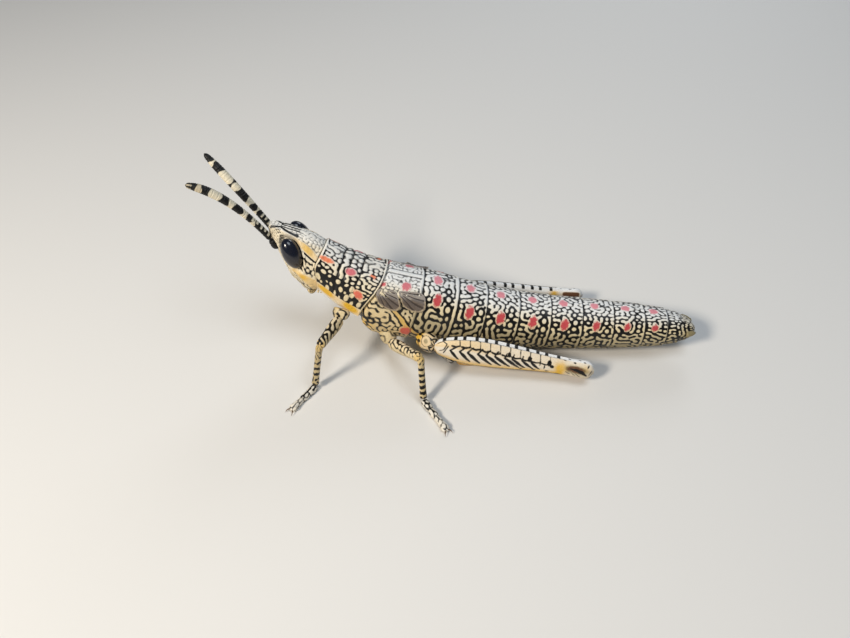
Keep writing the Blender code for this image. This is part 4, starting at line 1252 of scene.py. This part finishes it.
def tarsusMarks(s, degrees, length):
    bias = 0.15 + 0.7 * np.cos(2 * np.radians(degrees + legForm["footTurn"])) + 0 * s
    dark = inkOf(limbGrown(s, length, 1.8, 0.42, 0.28, bias, 31), s, ((0.1, 0.55), (0.5, 0.4), (0.9, 0.36)))
    dark = least(dark, *[np.abs(s - joint) * length - 0.035 for joint in tarsusJoints])
    return {"dark": dark, "tone": 0.22, "gold": 0.06}


def addTarsus(shape, ankle, toe):
    limb(shape, (*ankle[:2], 0.29), (*toe[:2], 0.29), "tarsus", upright, 72, 28, tarsusMarks,
         lambda s, degrees: sum(-0.015 * bell(s - joint, 0.012) for joint in tarsusJoints),
         turn=legForm["footTurn"], floor=True, lift=legForm["footHeight"])


def addClaws(shape, ankle, toe):
    ankle = np.array((*ankle[:2], legForm["footHeight"]))
    toe = np.array((*toe[:2], legForm["footHeight"]))
    axis = unit(toe - ankle)
    side = unit(np.cross(axis, upright))
    t = np.linspace(0, 1, 14)[:, None]
    for way in (1, -1):
        path = (toe - axis * 0.12 + side * way * 0.1 + axis * 0.42 * t + side * way * 0.22 * np.sin(1.5 * t)
                + upright * (0.1 * np.sin(np.pi * t) - 0.17 * t))
        path[:, 2] = np.maximum(path[:, 2], 0.03)
        rings = tube(path, upright, 0.072 * (1 - 0.93 * t[:, 0]), columns=12)
        rings[..., 2] = np.maximum(rings[..., 2], 0.0)
        shape.grid(rings)


def buildWalkingLegs(legMaterial, hornMaterial):
    print("walking legs")
    seed = 11
    for prefix in ("fore", "mid"):
        for mark in sides:
            root, base, knee, ankle, toe = [np.array(p) for p in legForm[prefix + mark]]
            axis = unit(knee - base)
            start = knee - unit(ankle - knee) * 0.06 + axis * 0.04
            shape = Shape()
            limb(shape, root, base, "coxa", (1, 0, 0.2), 26, 36, walkMarks(prefix + "Coxa", seed))
            limb(shape, base, knee, "femur", upright, 80, 40, walkMarks(prefix + "Femur", seed + 1))
            limb(shape, start, ankle, "tibia", -axis, 90, 32, walkMarks(prefix + "Tibia", seed + 2))
            addTarsus(shape, ankle, toe)
            nodes = ["%s_%s_%s" % (prefix, part, mark) for part in ("coxa", "femur", "tibia", "tarsus")]
            shape.piece("%sLeg%s" % (prefix, mark), legMaterial, nodes, "leg_skin")
            claws = Shape()
            addClaws(claws, ankle, toe)
            claws.piece("%sClaws%s" % (prefix, mark), hornMaterial, (), "hind_tibia_skin")
            seed += 3


femurMarks = {
    "ridge": 27.0,
    "squares": (0.055, 0.76, 12),       # first, last and number, as shares of the thigh
    "chevrons": (0.1, 0.6, 10),
    "plates": (0.15, 0.715, 10),
    "chart": 0.85,
    # lines round its base, and marks over the knee: share of the length, degrees, half length and half height
    "base": (((0.02, 40), (0.05, 30), (0.075, 50), (0.06, 84), (0.035, 96)), ((0.06, 104), (0.085, 60))),
    "knee": (
        (0.805, 30, 0.16, 0.05), (0.835, 12, 0.12, 0.06), (0.87, 38, 0.12, 0.1), (0.9, 8, 0.14, 0.06),
        (0.93, 26, 0.1, 0.07), (0.955, 50, 0.06, 0.2), (0.975, 90, 0.05, 0.3),
    ),
}


def femurRow(name, wobble=0.0):
    first, last, count = femurMarks[name]
    n = np.arange(count)
    return first + (last - first) * n / (count - 1) + wobble * np.sin(2.4 * n)


def femurChevrons():
    # apex, upper arm end and lower arm end; the upper arm shortens and the lower one is longest in the middle
    return [(apex, apex + 0.04 - 0.0045 * n, apex + 0.05 + 0.05 * math.sin(math.pi * (n + 0.4) / 10))
            for n, apex in enumerate(femurRow("chevrons", 0.004))]


def femurDots():
    # along, degrees, half length and half height: bold on the crest near the knee, fine along the lower edge
    plates = femurRow("plates")[5::2]
    crest = [(place, 63 + 4 * n, 0.12 + 0.03 * n, 0.2 + 0.05 * n) for n, place in enumerate(plates)]
    before = [(0.735, 90, 0.17, 0.16), (0.66, 80, 0.06, 0.24), (0.69, 100, 0.06, 0.22)]
    return crest + before + [(0.55 + 0.08 * n, 131, 0.17, 0.07) for n in range(3)]


def femurRoute(length, spots, halves=None):
    route = [(s * length, math.radians(turn) * femurMarks["chart"]) for s, turn in spots]
    return [(*spot, half) for spot, half in zip(route, halves)] if halves else route


def hindFemurFields(s, degrees, length, out):
    turn = degrees * out
    along = s * length
    scale = femurMarks["chart"]
    ridge = femurMarks["ridge"]
    v = np.radians(turn) * scale
    marks = Marks(s.shape)

    def line(half, *spots):
        marks.ink(stroke(along, v, femurRoute(length, spots), half))

    def dot(place, angle, wide, high, lean=0.0):
        marks.ink(ellipse(along, v, place * length, math.radians(angle) * scale, wide, high, lean))

    across = np.maximum(turn - ridge, -24 - turn) * math.radians(scale)
    for place in femurRow("squares", 0.006):
        marks.ink(np.maximum(np.abs(along - place * length) - 0.135, across + 0.03))
    for apex, upper, lower in femurChevrons():
        line(0.06, (upper, 60), (apex, 82))
        arm = ((apex, 82), ((apex + lower) * 0.5 - 0.008, 97), (lower, 124))
        marks.ink(taper(along, v, femurRoute(length, arm, (0.065, 0.125, 0.085))))
    for n, place in enumerate(femurRow("plates")):
        low = 56 + 2.6 * n
        line(0.042, (place, ridge), (place + 0.006, low))
        line(0.065, (place - 0.045, low + 1), (place - 0.02, low + 5), (place + 0.006, low))
    for spot in femurDots():
        dot(*spot)
    marks.ink(only((s > 0.05) & (s < 0.8), np.abs(turn - ridge) * math.radians(scale) - 0.034))
    marks.ink(only((s > 0.06) & (s < 0.8), np.abs(turn - 142) * math.radians(scale) - 0.034))
    for route in femurMarks["base"]:
        line(0.05, *route)
    # the knee: a dark crescent, curved lines on the lobes and broken marks over the top
    bow = ((0.85, 84), (0.885, 84), (0.925, 92), (0.955, 112))
    marks.ink(taper(along, v, femurRoute(length, bow, (0.05, 0.13, 0.16, 0.07))))
    for place in (0.845, 0.875, 0.905):
        line(0.032, (place - 0.02, 108), (place + 0.012, 130))
    for spot in femurMarks["knee"]:
        dot(*spot, 15)
    knee = smooth(0.795, 0.83, s)
    outer = smooth(ridge - 1, ridge + 4, turn) * (1 - smooth(150, 165, turn))
    inner = smooth(-20, -60, turn)
    upperPlates = (1 - smooth(60 + 40 * s, 72 + 40 * s, turn)) * (0.38 - 0.28 * smooth(0.18, 0.5, s))
    gold = outer * (upperPlates + 0.05 + 0.55 * smooth(106, 134, turn)) * (1 - knee)
    gold = gold + 0.75 * bell(turn - 156, 13) * (1 - smooth(0.8, 0.84, s))
    gold = gold + 1.2 * glow(s, turn, 0.79, 95, 0.036, 38) + 0.45 * glow(s, turn, 0.94, 66, 0.03, 20)
    gold = gold + 0.9 * bell(s - 0.79, 0.03) * smooth(-10, -30, turn)
    brown = smooth(0.83, 0.87, s) * (1 - smooth(0.95, 0.98, s)) * smooth(-16, -34, turn)
    brown = np.maximum(glow(s, turn, 0.88, 82, 0.065, 24), brown)
    tone = 0.08 + 0.3 * outer + 0.24 * knee * smooth(55, 80, turn) + 0.9 * brown + 0.15 * inner
    gold = np.clip(gold + 0.1 * inner, 0, 1) * (1 - brown)
    spot = only(s > 0.8, 0.25 - brown * 0.52)
    return {"dark": marks.dark, "gold": gold, "tone": np.clip(tone, 0, 1), "spot": spot}


def hindFemurRelief(s, degrees, length, out):
    turn = degrees * out
    side = np.abs(turn)
    edges = 0.07 * bell(turn - femurMarks["ridge"] - 2, 4) + 0.06 * bell(turn - 142, 4) + 0.06 * bell(turn, 6)
    relief = (edges + 0.05 * bell(side - 176, 7)) * (smooth(0.04, 0.1, s) * (1 - smooth(0.8, 0.86, s)))
    v = np.radians(turn) * femurMarks["chart"]
    for apex, upper, lower in femurChevrons():
        route = femurRoute(length, ((upper, 52), (apex, 82), (lower, 130)))
        relief -= 0.035 * bell(stroke(s * length, v, route), 0.07)
    relief -= 0.07 * bell(s - 0.855, 0.01) * smooth(50, 80, side) * (1 - smooth(130, 150, side))
    return relief + 0.05 * bell(s - 0.92, 0.03) * bell(side - 95, 30)


def shinMarks(s, degrees, length):
    v = np.radians(degrees) * 0.3
    dots = [ellipse(s * length, v, (0.1 + 0.052 * n) * length, 0.12 * (-1) ** n, 0.12, 0.05)
            for n in range(16)]
    return {"dark": least(np.full(s.shape, far), *dots), "gold": 0.55 + 0.2 * np.sin(s * 20), "tone": 0.8}


def coxaMarks(s, degrees, length, out):
    dark = inkOf(limbGrown(s, length, 4.2, 0.42, 0.42, 0.1 + 0 * s, 23), s, ((0.1, 0.4), (0.9, 0.36)), 12.0)
    dark = np.minimum(dark, np.abs(s - 0.93) * length - 0.05)
    # a pale ring with a grey middle on the upper outer side
    v = np.radians(degrees * out) * 0.65
    ring = ellipse(s * length, v, 0.74 * length, math.radians(48) * 0.65, 0.36, 0.36)
    dark = np.where(ring < 0.08, np.abs(ring - 0.045) - 0.035, dark)
    middle = smooth(-0.15, -0.22, ring)
    gold = 0.3 + 0.65 * smooth(0.55, 0.25, s) - 0.3 * middle
    return {"dark": dark, "pale": np.abs(ring + 0.09) - 0.1, "gold": gold, "tone": 0.55 + 0.4 * middle}


def buildHindLegs(legMaterial, shinMaterial, hornMaterial):
    print("hind legs")
    lean = math.radians(legForm["lean"])
    for mark, out in sides.items():
        root, base, knee, ankle, toe = [np.array(p) for p in legForm["hind" + mark]]
        up = np.array((0, out * math.sin(lean), math.cos(lean)))
        shape = Shape()
        limb(shape, root, base, "hindCoxa", upright, 60, 64, lambda s, d, n: coxaMarks(s, d, n, out))
        limb(shape, base, knee, "hindFemur", up, 190, 84, lambda s, d, n: hindFemurFields(s, d, n, out),
             lambda s, d: hindFemurRelief(s, d, np.linalg.norm(knee - base), out), bow=legForm["bow"])
        shape.piece("hindThigh" + mark, legMaterial, ["hind_coxa_" + mark, "hind_femur_" + mark], "leg_skin")
        start = np.array((knee[0] - 0.15, knee[1] + out * 0.46, 0.52))
        shin = Shape()
        end = ankle + np.array((0, out * 0.2, 0))
        limb(shin, start, end, "hindTibia", upright, 150, 32, shinMarks, floor=True)
        shin.piece("hindShin" + mark, shinMaterial, ["hind_tibia_" + mark], "hind_tibia_skin")
        foot = Shape()
        addTarsus(foot, ankle + unit(toe - ankle) * 0.42, toe)
        foot.piece("hindFoot" + mark, legMaterial, ["hind_tarsus_" + mark], "leg_skin")
        horn = Shape()
        addClaws(horn, ankle, toe)
        axis = unit(ankle - start)
        side = unit(np.cross(axis, upright))
        t = np.linspace(0, 1, 8)[:, None]
        # the shin's spines
        for n in range(9):
            for way in (1, -1):
                spot = start + (ankle - start) * (0.42 + 0.06 * n) + side * way * 0.16 + upright * 0.18
                path = spot + (axis * 0.34 + side * way * 0.12 + upright * 0.14) * t
                horn.grid(tube(path, upright, 0.055 * (1 - 0.93 * t[:, 0]), columns=10))
        horn.piece("hindClaws" + mark, hornMaterial, (), "hind_tibia_skin")


mouthForm = {
    # place along the lip, half width and half depth
    "lip": ((0.0, 0.66, 0.26), (0.35, 0.8, 0.3), (0.8, 0.72, 0.26), (1.0, 0.45, 0.15)),
    "rows": 26,
    "columns": 40,
    "spacing": 0.24,
    # three points of each palp in the head's measures, and its half width
    "palps": (
        ((-0.95, 0.46, 4.52), (-1.1, 0.58, 4.74), (-1.05, 0.5, 4.96), 0.08),
        ((-1.25, 0.3, 4.66), (-1.36, 0.4, 4.88), (-1.3, 0.32, 5.06), 0.07),
    ),
}


def buildMouth(material):
    print("mouth")
    form = mouthForm
    ahead, _, below = headAxes()
    shape = Shape()
    t = np.linspace(0, 1, form["rows"])
    wide, deep = readTable(form["lip"], t) * rounded(t, 0.9, 1.0, 0.9)
    path = headPlace(-0.31 - 0.46 * t, 0.0, 5.06 + 0.12 * t)
    side, top = crossAxes(unit(below - ahead * 0.5), ahead)
    turn = np.linspace(-np.pi, np.pi, form["columns"] + 1)[None, :-1, None]
    deep, wide = deep[:, None, None], wide[:, None, None]
    rings = path[:, None] + top * (np.cos(turn) * deep) + side * (np.sin(turn) * wide)
    steps = [size / count / form["spacing"] for size, count in ((0.7, form["rows"]), (3.8, form["columns"]))]
    grown = grownMarks(*steps, 0.3 + np.zeros(rings.shape[:2]), 29)
    shape.grid(rings, tone=0.6, gold=0.1, dark=inkOf(grown, t[:, None], ((0, 0.34), (1, 0.34)), 18.0))
    t = np.linspace(0, 1, 30)
    near = np.abs(t * 3 - np.round(t * 3))
    for way in (1, -1):
        for *spots, half in form["palps"]:
            spots = [headPlace(along, across * way, down) for along, across, down in spots]
            half = half * (1 - 0.25 * bell(near, 0.08)) * rounded(t, 0.9, 1.0, 0.95)
            shape.grid(tube(curve(*spots, t[:, None]), ahead, half, columns=14), tone=0.5, gold=0.2)
    shape.piece("mouthParts", material, ["labrum"], "body_skin")


def buildTail(material):
    print("tail")
    t = np.linspace(0, 1, 18)
    half = readTable(((0.0, 0.24), (0.5, 0.23), (1.0, 0.1)), t) * rounded(t, 0.85, 1.0, 0.9)
    for mark, side in sides.items():
        path = np.stack((21.25 + 0.85 * t, -side * (1.02 - 0.34 * t), 2.62 - 0.12 * t), 1)
        shape = Shape().grid(tube(path, upright, half), tone=1.0)
        shape.piece("cercus" + mark, material, ["cercus_" + mark], "body_skin")


stageLook = {
    "focal": 28.8,
    "distance": 56.667,
    "azimuth": 2.5,
    "elevation": 46.5,
    "aim": 2.4,
    "view": "Standard",
    "floor": rgba(0.74, 0.72, 0.69),
    "floorReach": 1.2,
    "world": rgba(0.72, 0.82, 0.96),
    "worldStrength": 0.13,
    # name, azimuth, elevation, distance, size, power, colour
    "lights": (
        ("keyLight", -46.0, 40.0, 160.0, 34.0, 0.215, (1.0, 0.92, 0.8)),
        ("topLight", 60.0, 74.0, 170.0, 90.0, 0.105, (0.84, 0.92, 1.0)),
        ("rimLight", 160.0, 30.0, 170.0, 70.0, 0.05, (0.88, 0.94, 1.0)),
    ),
}


def buildStage():
    print("floor, light and camera")
    look = stageLook
    mesh = bpy.data.meshes.new("floor")
    reach = look["floorReach"]
    corners = [(x * reach, y * reach, 0) for x, y in ((-1, -1), (1, -1), (1, 1), (-1, 1))]
    mesh.from_pydata(corners, [], [(0, 1, 2, 3)])
    floor = newObject("floor", mesh)
    material = bpy.data.materials.new("floorPaper")
    material.use_nodes = True
    shader = material.node_tree.nodes["Principled BSDF"]
    shader.inputs["Base Color"].default_value = look["floor"]
    shader.inputs["Roughness"].default_value = 0.85
    mesh.materials.append(material)
    world = bpy.data.worlds.new("studio")
    bpy.context.scene.world = world
    world.use_nodes = True
    sky = world.node_tree.nodes["Background"]
    sky.inputs["Color"].default_value = look["world"]
    sky.inputs["Strength"].default_value = look["worldStrength"]
    for name, azimuth, elevation, distance, size, power, colour in look["lights"]:
        light = bpy.data.lights.new(name, "AREA")
        settle(light, shape="DISK", size=size * mm, energy=power, color=colour)
        aimObject(light, name, azimuth, elevation, distance)
    lens = bpy.data.cameras.new("camera")
    settle(lens, lens=look["focal"], sensor_width=36.0, clip_start=0.001, clip_end=10.0)
    bpy.context.scene.camera = aimObject(lens, "camera", look["azimuth"], look["elevation"], look["distance"])
    bpy.context.scene.view_settings.view_transform = look["view"]


def aimObject(data, name, azimuth, elevation, distance):
    # a light or camera that looks at the middle of the animal
    made = newObject(name, data)
    a, e = math.radians(azimuth), math.radians(elevation)
    away = Vector((math.sin(a) * math.cos(e), -math.cos(a) * math.cos(e), math.sin(e)))
    made.location = Vector((shift[0], shift[1], stageLook["aim"])) * mm + away * distance * mm
    made.rotation_euler = (-away).to_track_quat("-Z", "Y").to_euler()
    return made


def eyeMaterial():
    material, start, place = startMaterial("eyeGlaze")
    tone = start.field("tone").plus((place.noise(3.0) - 0.5) * 0.5)
    colour = tone.blend(rgba(0.006, 0.008, 0.017), rgba(0.034, 0.024, 0.016))
    facets = {"Strength": 0.25, "Distance": 0.004 * mm, "Height": place.cells(20.0, 0.4)}
    start.fill(material.node_tree.nodes["Principled BSDF"], {
        "Base Color": colour, "Normal": start.make("ShaderNodeBump", {"invert": True}, facets),
        "Roughness": 0.2, "Specular IOR Level": 0.4, "Coat Weight": 0.35, "Coat Roughness": 0.08,
    })
    return material


buildStage()
bodyMaterial = cuticle("bodyCuticle")
plateMaterial = cuticle("plateCuticle", raggedness=0.07)
headMaterial = cuticle("headCuticle", raggedness=0.05)
padMaterial = cuticle(
    "padCuticle", white=rgba(0.33, 0.295, 0.265), cream=rgba(0.165, 0.134, 0.115),
    olive=rgba(0.098, 0.074, 0.06), ink=rgba(0.05, 0.037, 0.03), pink=rgba(0.4, 0.31, 0.2),
    mottle=0.9, spotEdge=2.4,
)
legMaterial = cuticle("legCuticle")
thighMaterial = cuticle(
    "thighCuticle", cream=rgba(0.76, 0.66, 0.51), pink=rgba(0.13, 0.06, 0.03), spotEdge=2.4,
)
shinMaterial = cuticle("shinCuticle", gold=rgba(0.62, 0.32, 0.07), cream=rgba(0.52, 0.36, 0.14))
feelerMaterial = cuticle(
    "feelerCuticle", white=rgba(0.66, 0.64, 0.56), olive=rgba(0.2, 0.19, 0.18), inkRoughness=0.5,
)
hornMaterial = cuticle("hornCuticle", cream=rgba(0.1, 0.045, 0.015), white=rgba(0.1, 0.045, 0.015))
buildBody(bodyMaterial)
buildPronotum(plateMaterial)
buildHead(headMaterial)
buildEyes(eyeMaterial())
buildMouth(headMaterial)
buildFeelers(feelerMaterial)
buildPads(padMaterial)
buildWalkingLegs(legMaterial, hornMaterial)
buildHindLegs(thighMaterial, shinMaterial, hornMaterial)
buildTail(bodyMaterial)
